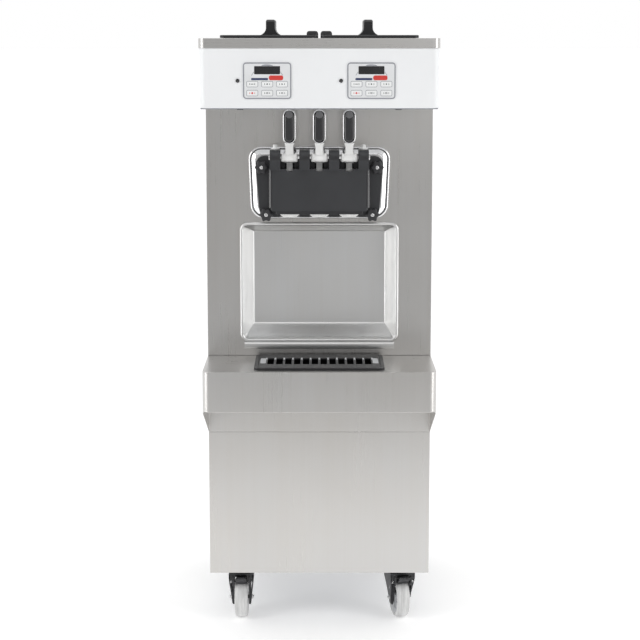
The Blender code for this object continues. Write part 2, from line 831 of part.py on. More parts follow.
def make_hopper_lids():
    middle = (LID_FRONT + LID_REAR) / 2
    low = DECK_TOP + GAP + SHEET + GAP
    for side, sign in SIDES.items():
        low_x, high_x = sorted((sign * LID_INNER_X, sign * LID_OUTER_X))
        centre = (low_x + high_x) / 2
        lid = rounded_box(
            "hopper_lid_" + side,
            (low_x, LID_FRONT, low),
            (high_x, LID_REAR, LID_TOP),
            2,
            0.012,
            "black_plastic",
            origin=(centre, middle, low),
        )
        pocket = box(
            "lid_pocket_" + side,
            (low_x + 0.0025, LID_FRONT + 0.0025, low - 0.01),
            (high_x - 0.0025, LID_REAR - 0.0025, LID_TOP - 0.003),
        )
        half = LID_HANDLE_LENGTH / 2
        fin = plate("lid_fin_" + side, lid_handle_outline(centre), middle - half, middle + half)
        near, far = sorted((sign * LID_INNER_X, sign * (LID_INNER_X + LID_HUMP_WIDTH)))
        corners = [(near, LID_TOP - 0.001), (far, LID_TOP - 0.001), (far, LID_HUMP_TOP), (near, LID_HUMP_TOP)]
        half = LID_HUMP_LENGTH / 2
        hump = plate("lid_hump_" + side, rounded_outline(corners, 0.005), middle - half, middle + half)
        cut(lid, pocket)
        join(lid, fin, hump)


# Freezing cylinders


def make_freezing_cylinders():
    front = BODY_FRONT - CLEARANCE / 5
    length = CYLINDER_REAR - front
    profile = [
        (CYLINDER_OUTER, length),
        (CYLINDER_OUTER, length - 0.006),
        (JACKET_RADIUS, length - 0.006),
        (JACKET_RADIUS, 0.0),
        (SHAFT_RADIUS + 0.001, 0.0),
        (SHAFT_RADIUS + 0.001, 0.006),
        (CYLINDER_BORE, 0.006),
        (CYLINDER_BORE, length),
    ]
    for side, sign in SIDES.items():
        place = (sign * CYLINDER_X, CYLINDER_REAR, CYLINDER_Z)
        cylinder = turned("freezing_cylinder_" + side, profile, place, "-Y", "polished_stainless", sides=20)
        inlet = rod(
            "inlet_" + side,
            (sign * CYLINDER_X, SPIGOT_Y, CYLINDER_Z + 0.020),
            (sign * CYLINDER_X, SPIGOT_Y, CYLINDER_Z + 0.090),
            0.0085,
            sides=12,
        )
        cut(cylinder, inlet)


def make_beaters():
    """A shaft with two scraper blades on three cross arms."""
    front = BODY_FRONT + 0.012
    back = CYLINDER_REAR - 0.016
    for side, sign in SIDES.items():
        x = sign * CYLINDER_X
        axis = (x, 0.0, CYLINDER_Z)
        start = (x, front - 0.006, CYLINDER_Z)
        end = (x, GEARBOX_FRONT + 0.014, CYLINDER_Z)
        shaft = rod("beater_" + side, start, end, SHAFT_RADIUS, 16, "white_plastic", axis)
        pieces = []
        for i in range(3):
            y = front + 0.020 + i * (back - front - 0.050) / 2
            arm = ((x - 0.004, y, CYLINDER_Z - 0.044), (x + 0.004, y + 0.010, CYLINDER_Z + 0.044))
            pieces.append(box("beater_arm_%s_%d" % (side, i), *arm))
        for way in (-1, 1):
            low, high = sorted((CYLINDER_Z + way * 0.040, CYLINDER_Z + way * (BEATER_RADIUS - 0.0005)))
            blade = ((x - 0.0055, front, low), (x + 0.0055, back, high))
            pieces.append(box("beater_blade_%s_%d" % (side, way), *blade))
        join(shaft, *pieces)


def make_gear_motors():
    """A gearbox with the beater's drive socket, its motor behind it and a foot on the motor deck."""
    foot_bottom = MOTOR_DECK + 0.003 + GAP
    for side, sign in SIDES.items():
        x = sign * CYLINDER_X
        gearbox = box(
            "gear_motor_" + side,
            (x - 0.050, GEARBOX_FRONT, CYLINDER_Z - 0.055),
            (x + 0.050, GEARBOX_FRONT + 0.075, CYLINDER_Z + 0.055),
            "black_enamel",
        )
        motor = rod(
            "motor_" + side,
            (x, GEARBOX_FRONT + 0.070, CYLINDER_Z),
            (x, GEARBOX_FRONT + 0.210, CYLINDER_Z),
            0.048,
            sides=24,
        )
        foot = box(
            "motor_foot_" + side,
            (x - 0.055, GEARBOX_FRONT + 0.010, foot_bottom),
            (x + 0.055, GEARBOX_FRONT + 0.180, foot_bottom + 0.006),
        )
        web = box(
            "motor_web_" + side,
            (x - 0.030, GEARBOX_FRONT + 0.012, foot_bottom + 0.003),
            (x + 0.030, GEARBOX_FRONT + 0.170, CYLINDER_Z - 0.030),
        )
        socket = rod(
            "drive_socket_" + side,
            (x, GEARBOX_FRONT - 0.010, CYLINDER_Z),
            (x, GEARBOX_FRONT + 0.016, CYLINDER_Z),
            SHAFT_RADIUS + 0.001,
            sides=16,
        )
        join(gearbox, motor, foot, web)
        cut(gearbox, socket)


# Freezer door


def make_face_plate():
    corners = rectangle(FACE_HALF_WIDTH, FACE_BOTTOM, FACE_TOP, FACE_TAPER)
    outline = rounded_outline(corners, FACE_RADIUS, steps=6)
    face = plate("face_plate", outline, BODY_FRONT - GAP, FACE_PLATE_FRONT, "polished_stainless")
    for side, sign in SIDES.items():
        x = sign * CYLINDER_X
        mouth = rod("mouth_" + side, (x, -0.18, CYLINDER_Z), (x, -0.23, CYLINDER_Z), CYLINDER_BORE, sides=20)
        cut(face, mouth)
    for name, (x, z) in SCREWS.items():
        hole = rod("tapped_hole_" + name, (x, -0.23, z), (x, -0.1955, z), STUD_RADIUS + 0.0005, sides=10)
        cut(face, hole)


def make_freezer_door():
    corners = rectangle(WING_HALF_WIDTH, WING_BOTTOM, WING_TOP, WING_TAPER)
    door = plate("freezer_door", rounded_outline(corners, 0.020), DOOR_BACK, WING_FRONT, "dark_door")
    block = rounded_box(
        "door_block",
        (-BLOCK_HALF_WIDTH, BLOCK_FRONT, BLOCK_BOTTOM),
        (BLOCK_HALF_WIDTH, WING_FRONT + 0.002, BLOCK_TOP),
        2,
        0.006,
        wanted=lambda middle: middle.y < BLOCK_FRONT + 0.001,
        steps=3,
    )
    join(door, block, *door_lugs())
    cut(door, *door_bores())


def door_lugs():
    """Four knuckles on the block, each with a rounded front."""
    lugs = []
    for i, x in enumerate((-LUG_OUTER_X, -LUG_INNER_X, LUG_INNER_X, LUG_OUTER_X)):
        lugs.append(
            rounded_box(
                "door_lug_%d" % i,
                (x - LUG_HALF_WIDTH, LUG_FRONT, BLOCK_TOP - 0.003),
                (x + LUG_HALF_WIDTH, WING_FRONT + 0.002, LUG_TOP),
                0,
                0.012,
                wanted=lambda middle: middle.y < LUG_FRONT + 0.001 and middle.z > BLOCK_TOP,
            )
        )
    return lugs


def door_bores():
    cutters = []
    for name, x in SPOUT_X.items():
        low, high = (x, VALVE_Y, BLOCK_BOTTOM - 0.001), (x, VALVE_Y, LUG_TOP + 0.01)
        cutters.append(rod("valve_bore_" + name, low, high, VALVE_RADIUS + 0.0005, sides=20))
        low, high = (x, VALVE_Y, WING_BOTTOM - 0.01), (x, VALVE_Y, BLOCK_BOTTOM)
        cutters.append(rod("nozzle_space_" + name, low, high, NOZZLE_RADIUS + 0.001, sides=20))
        notch = ((x - 0.0078, BLOCK_FRONT - 0.01, BLOCK_TOP - 0.006), (x + 0.0078, VALVE_Y, BLOCK_TOP + 0.01))
        cutters.append(box("stem_notch_" + name, *notch))
        if x:
            start, end = (x, DOOR_BACK + 0.005, PASSAGE_Z), (x, VALVE_Y, PASSAGE_Z)
            cutters.append(rod("passage_" + name, start, end, PASSAGE_RADIUS, sides=12))
    twist_low = (-0.045, -0.236, PASSAGE_Z - PASSAGE_RADIUS)
    twist_high = (0.045, DOOR_BACK + 0.005, PASSAGE_Z + PASSAGE_RADIUS)
    cutters.append(box("twist_passage", twist_low, twist_high))
    for side, sign in SIDES.items():
        x = sign * PLUG_X
        low, high = (x, PLUG_Y, 1.128), (x, PLUG_Y, LUG_TOP + 0.01)
        cutters.append(rod("plug_bore_" + side, low, high, PLUG_RADIUS + 0.0004, sides=12))
        start, end = (x, DOOR_BACK + 0.005, 1.134), (x, PLUG_Y, 1.134)
        cutters.append(rod("air_passage_" + side, start, end, 0.003, sides=8))
    ends = LUG_OUTER_X + LUG_HALF_WIDTH + 0.01
    start, end = (-ends, PIN_Y, PIN_Z), (ends, PIN_Y, PIN_Z)
    cutters.append(rod("pin_bore", start, end, PIN_RADIUS + 0.0004, sides=12))
    for name, (x, z) in SCREWS.items():
        start, end = (x, -0.26, z), (x, -0.20, z)
        cutters.append(rod("screw_hole_" + name, start, end, STUD_RADIUS + 0.0007, sides=10))
        if z < CYLINDER_Z:
            start, end = (x, WING_FRONT, z), (x, BLOCK_FRONT - 0.01, z)
            cutters.append(rod("knob_space_" + name, start, end, KNOB_RADIUS + 0.0025, sides=16))
    return cutters


def make_draw_valves():
    """A plunger in each bore. Its head has a slot that the lever's finger lifts."""
    for name, x in SPOUT_X.items():
        origin = (x, VALVE_Y, VALVE_BOTTOM)
        valve = rod(
            "draw_valve_" + name,
            (x, VALVE_Y, VALVE_BOTTOM),
            (x, VALVE_Y, VALVE_SHOULDER),
            VALVE_RADIUS,
            20,
            "white_plastic",
            origin,
        )
        stem = box(
            "stem_" + name,
            (x - 0.007, VALVE_Y - 0.0085, VALVE_SHOULDER - 0.001),
            (x + 0.007, VALVE_Y + 0.0085, SLOT_BOTTOM),
        )
        head = rod(
            "valve_head_" + name,
            (x, VALVE_Y, SLOT_BOTTOM - 0.004),
            (x, VALVE_Y, VALVE_TOP),
            VALVE_RADIUS,
            sides=20,
        )
        slot = box(
            "finger_slot_" + name,
            (x - 0.0048, VALVE_Y - 0.02, SLOT_BOTTOM),
            (x + 0.0048, VALVE_Y + 0.007, SLOT_TOP),
        )
        join(valve, stem, head)
        cut(valve, slot)


def make_draw_handles():
    """Each handle turns on the pivot pin: a yoke, a finger into the valve, a neck and a grip."""
    for name, x in SPOUT_X.items():
        axis = (x, PIN_Y, PIN_Z)
        half = YOKE_WIDTH / 2
        handle = rod(
            "draw_handle_" + name,
            (x - half, PIN_Y, PIN_Z),
            (x + half, PIN_Y, PIN_Z),
            YOKE_RADIUS,
            20,
            "white_plastic",
            axis,
        )
        finger_low = (x - 0.004, PIN_Y, PIN_Z - 0.0025)
        finger = box("finger_" + name, finger_low, (x + 0.004, VALVE_Y, PIN_Z + 0.0025))
        neck = box(
            "neck_" + name,
            (x - NECK_HALF_WIDTH, PIN_Y - 0.006, PIN_Z + 0.005),
            (x + NECK_HALF_WIDTH, PIN_Y + 0.006, GRIP_BOTTOM + 0.003),
        )
        grip = rounded_box(
            "grip_" + name,
            (x - GRIP_HALF_WIDTH, PIN_Y - GRIP_HALF_DEPTH, GRIP_BOTTOM),
            (x + GRIP_HALF_WIDTH, PIN_Y + GRIP_HALF_DEPTH, GRIP_TOP),
            1,
            0.0145,
            steps=5,
        )
        bore = rod(
            "handle_bore_" + name,
            (x - half - 0.01, PIN_Y, PIN_Z),
            (x + half + 0.01, PIN_Y, PIN_Z),
            PIN_RADIUS + 0.0004,
            sides=12,
        )
        join(handle, finger, neck, grip)
        cut(handle, bore)


def make_pivot_pin():
    end = LUG_OUTER_X + LUG_HALF_WIDTH + CLEARANCE
    profile = [
        (0.0, end + 0.003),
        (0.0062, end + 0.003),
        (0.0062, end),
        (PIN_RADIUS, end),
        (PIN_RADIUS, -end),
        (0.0062, -end),
        (0.0062, -end - 0.003),
        (0.0, -end - 0.003),
    ]
    turned("pivot_pin", profile, (0.0, PIN_Y, PIN_Z), "X", "polished_stainless", sides=12)


def make_prime_plugs():
    profile = [
        (0.0, 0.0115),
        (0.0055, 0.0115),
        (0.0060, 0.0030),
        (0.0110, 0.0024),
        (0.0110, 0.0),
        (PLUG_RADIUS, 0.0),
        (PLUG_RADIUS, -0.048),
        (0.0, -0.048),
    ]
    for side, sign in SIDES.items():
        place = (sign * PLUG_X, PLUG_Y, LUG_TOP + GAP)
        turned("prime_plug_" + side, profile, place, "Z", "white_plastic", sides=16)


def make_hand_screws():
    for name, (x, z) in SCREWS.items():
        outline = lobed_outline(KNOB_RADIUS - 0.0016, 0.0016, 6, 24, (x, z))
        back = WING_FRONT - GAP
        origin = (x, back, z)
        knob = plate("hand_screw_" + name, outline, back, back - KNOB_LENGTH, "black_plastic", origin=origin)
        stud = rod("stud_" + name, (x, back - 0.002, z), (x, BODY_FRONT - 0.0045, z), STUD_RADIUS, sides=10)
        join(knob, stud)


def make_star_nozzles():
    top = BLOCK_BOTTOM - GAP - NOZZLE_BOTTOM
    profile = [(NOZZLE_RADIUS, top), (NOZZLE_RADIUS, top - 0.009), (0.016, 0.0)]
    profile += [(0.0135, 0.003), (0.0175, top)]
    for name, x in SPOUT_X.items():
        place = (x, VALVE_Y, NOZZLE_BOTTOM)
        nozzle = turned("star_nozzle_" + name, profile, place, "Z", "white_plastic", sides=20)
        floor = rod("nozzle_floor_" + name, place, (x, VALVE_Y, NOZZLE_BOTTOM + 0.003), 0.0150, sides=20)
        star = lobed_outline(0.0085, 0.0025, 6, 12, (x, VALVE_Y))
        opening = plate("star_opening_" + name, star, NOZZLE_BOTTOM - 0.01, NOZZLE_BOTTOM + 0.01, plane="XY")
        join(nozzle, floor)
        cut(nozzle, opening)


# Refrigeration


def make_compressor():
    x, y = COMPRESSOR_PLACE
    floor = PAN_BOTTOM + 0.003 + GAP
    profile = [
        (0.0, 0.195),
        (0.045, 0.190),
        (0.068, 0.172),
        (COMPRESSOR_RADIUS, 0.145),
        (COMPRESSOR_RADIUS, 0.045),
        (0.065, 0.022),
        (0.0, 0.016),
    ]
    compressor = turned("compressor", profile, (x, y, floor), "Z", "black_enamel", sides=20)
    foot = box("compressor_foot", (x - 0.085, y - 0.060, floor), (x + 0.085, y + 0.060, floor + 0.028))
    start, end = (x + 0.030, y, floor + 0.150), (x + 0.030, y, floor + 0.230)
    suction = rod("suction_stub", start, end, 0.008, sides=12)
    join(compressor, foot, suction)


def make_condenser():
    """The finned core with a shroud ring round the fan and a fixed motor boss in the middle."""
    floor = PAN_BOTTOM + 0.003 + GAP
    half = 0.140
    core = box(
        "condenser",
        (FAN_X - half, CONDENSER_FRONT, floor),
        (FAN_X + half, CONDENSER_REAR, FAN_Z + half),
        "galvanised",
    )
    ring_y = CONDENSER_FRONT + 0.001
    shroud_low = (FAN_X - half, CONDENSER_FRONT - 0.040, FAN_Z - half)
    shroud = box("shroud", shroud_low, (FAN_X + half, ring_y, FAN_Z + half))
    throat = rod(
        "shroud_throat",
        (FAN_X, CONDENSER_FRONT - 0.060, FAN_Z),
        (FAN_X, CONDENSER_FRONT - 0.0005, FAN_Z),
        FAN_RADIUS + 0.008,
        sides=28,
    )
    boss = rod(
        "fan_boss",
        (FAN_X, CONDENSER_FRONT + 0.005, FAN_Z),
        (FAN_X, CONDENSER_FRONT - 0.008, FAN_Z),
        0.030,
        sides=20,
    )
    spindle = rod(
        "fan_spindle",
        (FAN_X, CONDENSER_FRONT, FAN_Z),
        (FAN_X, CONDENSER_FRONT - 0.036, FAN_Z),
        0.004,
        sides=10,
    )
    join(core, shroud)
    cut(core, throat)
    join(core, boss, spindle)


def make_condenser_fan():
    centre = Vector((FAN_X, CONDENSER_FRONT - 0.022, FAN_Z))
    depth = Vector((0.0, 0.010, 0.0))
    fan = rod("condenser_fan", centre - depth, centre + depth, 0.022, 20, "black_plastic", tuple(centre))
    blades = []
    for i in range(FAN_BLADES):
        spin = Matrix.Rotation(2 * math.pi * i / FAN_BLADES, 4, "Y")
        pitch = Matrix.Rotation(math.radians(28), 4, "Z")
        bm = box_bmesh((-0.022, -0.0012, 0.018), (0.022, 0.0012, FAN_RADIUS - 0.003))
        bm.transform(Matrix.Translation(centre) @ spin @ pitch)
        blades.append(add_object("fan_blade_%d" % i, mesh_from("fan_blade", bm), None))
    join(fan, *blades)
    bore = rod("fan_bore", centre - 3 * depth, centre + 3 * depth, 0.0045, sides=10)
    cut(fan, bore)


# Casters


def caster_places():
    return [
        ("front_left", -CASTER_X, CASTER_FRONT_Y),
        ("front_right", CASTER_X, CASTER_FRONT_Y),
        ("rear_left", -CASTER_X, CASTER_REAR_Y),
        ("rear_right", CASTER_X, CASTER_REAR_Y),
    ]


def caster_mount(name, x, y):
    """An empty on the swivel axis. The front right caster stands turned outwards."""
    mount = bpy.data.objects.new("caster_" + name, None)
    bpy.data.collections[COLLECTION].objects.link(mount)
    mount.location = (x, y, 0.0)
    mount.rotation_euler.z = CASTER_TURN if name == "front_right" else 0.0
    return mount


def leg_outline():
    """A caster leg seen from the side, wide at the crown and narrow at the axle."""
    trail = -CASTER_TRAIL
    top = CROWN_BOTTOM + 0.002
    points = [(trail - 0.022, top), (0.024, top), (trail + 0.016, WHEEL_RADIUS - 0.008)]
    points += [(trail + 0.010, WHEEL_RADIUS - 0.017), (trail - 0.010, WHEEL_RADIUS - 0.017)]
    points.append((trail - 0.016, WHEEL_RADIUS - 0.008))
    return points


def make_casters():
    for name, x, y in caster_places():
        mount = caster_mount(name, x, y)
        fork = make_fork(name)
        wheel = make_wheel(name)
        pieces = [fork, wheel]
        if name.startswith("front"):
            pieces.append(make_brake_pedal(name))
        for piece in pieces:
            for modifier in piece.modifiers:
                if modifier.type == "BOOLEAN":
                    modifier.object.parent = mount
            piece.parent = mount


def make_fork(name):
    fork = rod(
        "caster_fork_" + name,
        (0.0, 0.0, CROWN_BOTTOM),
        (0.0, 0.0, CROWN_TOP),
        CROWN_RADIUS,
        16,
        "black_enamel",
    )
    bridge = box(
        "bridge_" + name,
        (-LEG_OUTER, -CASTER_TRAIL - 0.020, CROWN_BOTTOM - 0.001),
        (LEG_OUTER, 0.010, CROWN_BOTTOM + 0.003),
    )
    legs = []
    for side, sign in SIDES.items():
        near, far = sorted((sign * LEG_INNER, sign * LEG_OUTER))
        legs.append(plate("leg_%s_%s" % (side, name), leg_outline(), near, far, None, "YZ"))
    axle_end = LEG_OUTER + 0.004
    axle = rod(
        "axle_" + name,
        (-axle_end, -CASTER_TRAIL, WHEEL_RADIUS),
        (axle_end, -CASTER_TRAIL, WHEEL_RADIUS),
        0.0047,
        sides=12,
    )
    hinge = rod("pedal_pin_" + name, (-0.020, *PEDAL_PIN), (0.020, *PEDAL_PIN), 0.002, sides=8)
    start, end = (0.0, 0.0, CROWN_TOP - 0.001), (0.0, 0.0, PAN_BOTTOM - GAP)
    bearing = rod("bearing_" + name, start, end, BEARING_RADIUS)
    stem = rod("stem_" + name, (0.0, 0.0, CROWN_TOP), (0.0, 0.0, STEM_TOP), STEM_RADIUS, sides=12)
    join(fork, bridge, bearing, stem, *legs, axle)
    if name.startswith("front"):
        ears = []
        for side, sign in SIDES.items():
            near, far = sorted((sign * 0.0186, sign * 0.0220))
            low, high = (near, -0.068, 0.090), (far, -0.040, 0.112)
            ears.append(box("ear_%s_%s" % (side, name), low, high))
        join(fork, *ears, hinge)
    else:
        bpy.data.objects.remove(hinge, do_unlink=True)
    return fork


def make_wheel(name):
    half = WHEEL_WIDTH / 2
    profile = [(0.0052, half), (WHEEL_RADIUS - 0.006, half), (WHEEL_RADIUS, half - 0.007)]
    mirrored = [(radius, -height) for radius, height in reversed(profile)]
    place = (0.0, -CASTER_TRAIL, WHEEL_RADIUS)
    return turned("caster_wheel_" + name, profile + mirrored, place, "X", "grey_rubber", sides=28)


def make_brake_pedal(name):
    """A toe pedal over the wheel's front, on a pin between the fork's ears."""
    outline = [(-0.084, 0.1085), (-0.084, 0.1135), (-0.060, 0.1060), (-0.0545, 0.1000), (-0.0555, 0.0945)]
    outline += [(-0.064, 0.0935), (-0.068, 0.1000)]
    pedal = plate("brake_pedal_" + name, outline, -0.0135, 0.0135, "black_enamel", "YZ", (0.0, *PEDAL_PIN))
    bore = rod("pedal_bore_" + name, (-0.02, *PEDAL_PIN), (0.02, *PEDAL_PIN), 0.0024, sides=8)
    cut(pedal, bore)
    return pedal


def main():
    clear_scene()
    new_collection(COLLECTION)
    new_collection("cutters").hide_render = True
    make_base_frame()
    make_side_panels()
    make_rear_panel()
    make_front_panels()
    make_cable_gland()
    make_drip_shelf()
    make_drip_tray()
    make_drip_grille()
    make_splash_panel()
    make_head_cover()
    make_top_deck()
    make_control_panels()
    make_hoppers()
    make_feed_tubes()
    make_hopper_lids()
    make_freezing_cylinders()
    make_beaters()
    make_gear_motors()
    make_face_plate()
    make_freezer_door()
    make_draw_valves()
    make_draw_handles()
    make_pivot_pin()
    make_prime_plugs()
    make_hand_screws()
    make_star_nozzles()
    make_compressor()
    make_condenser()
    make_condenser_fan()
    make_casters()


main()
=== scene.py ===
"""The looks of a floor-standing soft serve machine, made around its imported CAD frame.

Metres, +Z up. The front faces -Y, left is -X, and the floor is at Z 0. Each piece's place is in its mesh, and
its object sits at the origin, so one object-space texture runs through all pieces in the same way.
"""

import json
import math

import bmesh
import bpy
from mathutils import Matrix, Vector

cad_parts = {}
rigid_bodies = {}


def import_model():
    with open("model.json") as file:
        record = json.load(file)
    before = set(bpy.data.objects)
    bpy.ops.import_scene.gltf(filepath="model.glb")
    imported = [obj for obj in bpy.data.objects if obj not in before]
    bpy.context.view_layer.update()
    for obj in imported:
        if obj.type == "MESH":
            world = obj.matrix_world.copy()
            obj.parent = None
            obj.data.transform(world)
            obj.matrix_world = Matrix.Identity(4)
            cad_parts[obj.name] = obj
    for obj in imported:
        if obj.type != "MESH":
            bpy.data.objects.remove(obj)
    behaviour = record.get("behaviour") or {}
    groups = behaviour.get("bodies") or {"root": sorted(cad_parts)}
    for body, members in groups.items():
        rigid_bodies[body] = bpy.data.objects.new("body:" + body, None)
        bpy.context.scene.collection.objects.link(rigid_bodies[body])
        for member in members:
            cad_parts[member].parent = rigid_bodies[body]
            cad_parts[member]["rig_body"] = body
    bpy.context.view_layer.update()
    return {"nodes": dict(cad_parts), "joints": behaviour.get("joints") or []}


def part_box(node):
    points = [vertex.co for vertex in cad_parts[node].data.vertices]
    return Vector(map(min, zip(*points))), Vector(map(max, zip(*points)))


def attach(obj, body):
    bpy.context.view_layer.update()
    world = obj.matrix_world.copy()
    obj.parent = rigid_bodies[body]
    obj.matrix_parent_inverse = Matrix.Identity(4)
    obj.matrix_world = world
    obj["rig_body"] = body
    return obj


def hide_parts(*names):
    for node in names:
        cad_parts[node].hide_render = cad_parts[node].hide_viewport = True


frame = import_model()

SIDES = {"left": -1, "right": 1}
SPOUTS = ("left", "centre", "right")
CORNERS = ("front_left", "front_right", "rear_left", "rear_right")
SCREWS = ("top_left", "top_right", "bottom_left", "bottom_right")
PANELS = ("upper_front_panel", "lower_front_panel", "side_panel_left", "side_panel_right", "rear_panel")
JOINTS = {joint["name"]: joint for joint in frame["joints"]}

# Sheet thickness, the usual rounding of a sheet's edge, the broken edge of a rod, and limits for mesh work
SHEET = 0.0015
HEM = 0.0006
ROD_CHAMFER = 0.0006
SMALLEST_RADIUS = 0.0004
POLE = 1e-6
FLAT_ANGLE = math.radians(1.5)

# Louvres: count, pitch, first height and opening height of a bank, its span, and a hood's mesh and reach
SIDE_LOUVRES = (9, 0.022, 0.210, 0.008)
SIDE_LOUVRE_SPAN = (0.078, 0.322)
REAR_LOUVRES = (10, 0.024, 0.200, 0.009)
REAR_LOUVRE_SPANS = ((-0.132, -0.003), (0.018, 0.147))
LOUVRE_STATIONS = 12
LOUVRE_ARC = 6
LOUVRE_REACH = 0.005

# Drip grille, with pale ribs that are painted highlights at the rear ends of its bars
GRILLE_RIB_HIGHLIGHTS = 13
GRILLE_RIB_HIGHLIGHT_PITCH = 0.0209
GRILLE_PAD_X = 0.1325

# Splash pan: steps of a slope, how far the slopes reach in at the (sides, bottom, top), and its flat middle
PAN_STEPS = 8
PAN_SLOPE = (0.0324, 0.0421, 0.0256)
PAN_FLAT = (0.070, 0.075, 0.065)
PAN_RADIUS = 0.020

# Control panels: keys as (half width, half height, pitch), the rows' heights from the middle, each key's
# mark, turned marks as (radius, sides), and the thickness of marks and of printed blocks
KEY = (0.0130, 0.0068, 0.0335)
KEY_ROWS = (-0.0075, -0.0275)
KEY_MARKS = (("bar", "ring", "triangle"), ("dot", "pair", "pair"))
KEY_DISCS = {"ring": (0.0016, 20), "triangle": (0.0024, 3), "dot": (0.0022, 20)}
INK = 0.00012
PRINT = 0.0004

# Hopper lids and their lifting fins
LID_RIBS = 9
FIN_LENGTH = 0.120
FIN_HALF = 0.012
FIN_STATIONS = 24

# Freezer door. Profiles are (inset, depth) for the bezel and grip, and (radius, height) for turned parts
BEZEL = [
    (0.0, 0.0070), (0.0006, 0.0048), (0.0020, 0.0032), (0.0040, 0.0026), (0.0056, 0.0032), (0.0066, 0.0048),
    (0.0074, 0.0054), (0.0082, 0.0051), (0.0100, 0.0041), (0.0130, 0.0024), (0.0160, 0.0009),
    (0.0180, 0.0002), (0.0200, 0.0),
]
KNUCKLE_X = (-0.1035, -0.0345, 0.0345, 0.1035)
KNUCKLE_HALF = 0.0124
FLANK_ENDS = (1.046, 1.136)
FLANK_STEPS = 8
SHROUD = ((-0.102, -0.2755, 1.0305), (0.102, -0.2685, 1.0395))
YOKE_HALF = 0.0200

# Draw handles: the neck as (height, half width, half depth), and the grip
LEVER_NECK = [
    (0.0060, 0.0125, 0.0068), (0.0105, 0.0108, 0.0066), (0.0150, 0.0098, 0.0062), (0.0200, 0.0095, 0.0060),
    (0.0255, 0.0094, 0.0060), (0.0300, 0.0104, 0.0066), (0.0345, 0.0122, 0.0074),
]
GRIP_OVAL = 0.0150
GRIP_FRAME = [
    (0.0040, 0.0034), (0.0036, 0.0010), (0.0028, 0.0001), (0.0016, 0.0004), (0.0004, 0.0024), (0.0, 0.0060)
]
GRIP_CORE = [(0.0105, 0.0004), (0.0080, 0.0007), (0.0058, 0.0016), (0.0042, 0.0034), (0.0038, 0.0046)]

# Prime plugs and the outer part of a hand screw's knob
PLUG = [
    (0.0, 0.0115), (0.0038, 0.0113), (0.0053, 0.0104), (0.0056, 0.0090), (0.0052, 0.0060), (0.0056, 0.0034),
    (0.0080, 0.0028), (0.0104, 0.0024), (0.0110, 0.0016), (0.0110, 0.0004), (0.0106, 0.0), (0.0044, 0.0),
    (0.0044, -0.0300), (0.0036, -0.0320), (0.0036, -0.0350), (0.0045, -0.0370), (0.0045, -0.0470),
    (0.0036, -0.0480), (0.0, -0.0480),
]
KNOB = [
    (0.0070, 0.0), (0.0092, 0.0006), (0.0098, 0.0040), (0.0118, 0.0062), (0.0137, 0.0074), (0.0146, 0.0092),
    (0.0146, 0.0150), (0.0139, 0.0168), (0.0122, 0.0180),
]

# Gear motors and condenser
MOTOR_Z = 1.100
MOTOR_FINS = 20
CONDENSER_FINS = 44
CONDENSER_BENDS = 6

# Casters. A fork's cheek goes from the hood down, as (height, reach from the middle, front, back)
CHEEK = (
    (0.1170, 0.0310, -0.0640, 0.0180),
    (0.1080, 0.0310, -0.0640, 0.0150),
    (0.0960, 0.0302, -0.0600, 0.0060),
    (0.0800, 0.0284, -0.0530, -0.0040),
    (0.0640, 0.0266, -0.0470, -0.0120),
    (0.0480, 0.0250, -0.0420, -0.0180),
    (0.0340, 0.0236, -0.0370, -0.0230),
)
CHEEK_THICKNESS = 0.0036
BALL_RACE = [
    (0.0180, 0.1204), (0.0290, 0.1204), (0.0312, 0.1190), (0.0318, 0.1165), (0.0310, 0.1120),
    (0.0290, 0.1090), (0.0260, 0.1076), (0.0180, 0.1076),
]
HOOD_ROOF = (0.1164, 0.1200)
WHEEL_HALF = 0.0165
WHEEL_RIBS = 5
PEDAL_GRIPS = 5

# Washer, nut and threaded end of an axle, each a number of sides and a profile out from the fork
AXLE_STACK = (
    (24, [(0.0, 0.0), (0.0070, 0.0), (0.0078, 0.0004), (0.0078, 0.0012), (0.0, 0.0012)]),
    (6, [(0.0, 0.0010), (0.0062, 0.0010), (0.0062, 0.0042), (0.0052, 0.0050), (0.0, 0.0050)]),
    (16, [(0.0, 0.0045), (0.0036, 0.0045), (0.0036, 0.0074), (0.0030, 0.0080), (0.0, 0.0080)]),
)

# Floor and studio: the tone in front of the machine and behind it, and where the one changes into the other
FLOOR_REACH = 600.0
FLOOR_GLOW = 0.24
FLOOR_FADE = (-3.6, -0.9)
FLOOR_FRONT = (0.50, 0.50, 0.50)
WORLD_FADE = (-0.85, 0.15)
WORLD_FRONT = (0.54, 0.54, 0.54)
WORLD_BACK = (1.0, 1.0, 1.0)
SIDE_POWER = 19.0
KEY_POWER = 10.0
FILL_POWER = 4.0

# Camera
CAMERA_PLACE = (0.0016, -4.19, 1.423)
CAMERA_LENS = 94.2
CAMERA_SENSOR = 36.0
CAMERA_SHIFT = -0.045
CAMERA_PITCH = 8.35
CAMERA_REACH = 2000.0


# Mesh work


def centre_of(node):
    low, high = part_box(node)
    return (low + high) / 2


def arc(steps, sweep=2 * math.pi):
    """The angles of a sweep in equal steps, with both its ends."""
    return [sweep * i / steps for i in range(steps + 1)]


def polar(radius, angle):
    return radius * math.cos(angle), radius * math.sin(angle)


def facing(direction):
    """The turn that brings +Z to the direction."""
    return Vector(direction).to_track_quat("Z", "Y").to_matrix()


def with_mirror(profile):
    """A profile of (radius, height), followed by its mirror image on the other side of height 0."""
    return profile + [(radius, -height) for radius, height in reversed(profile)]


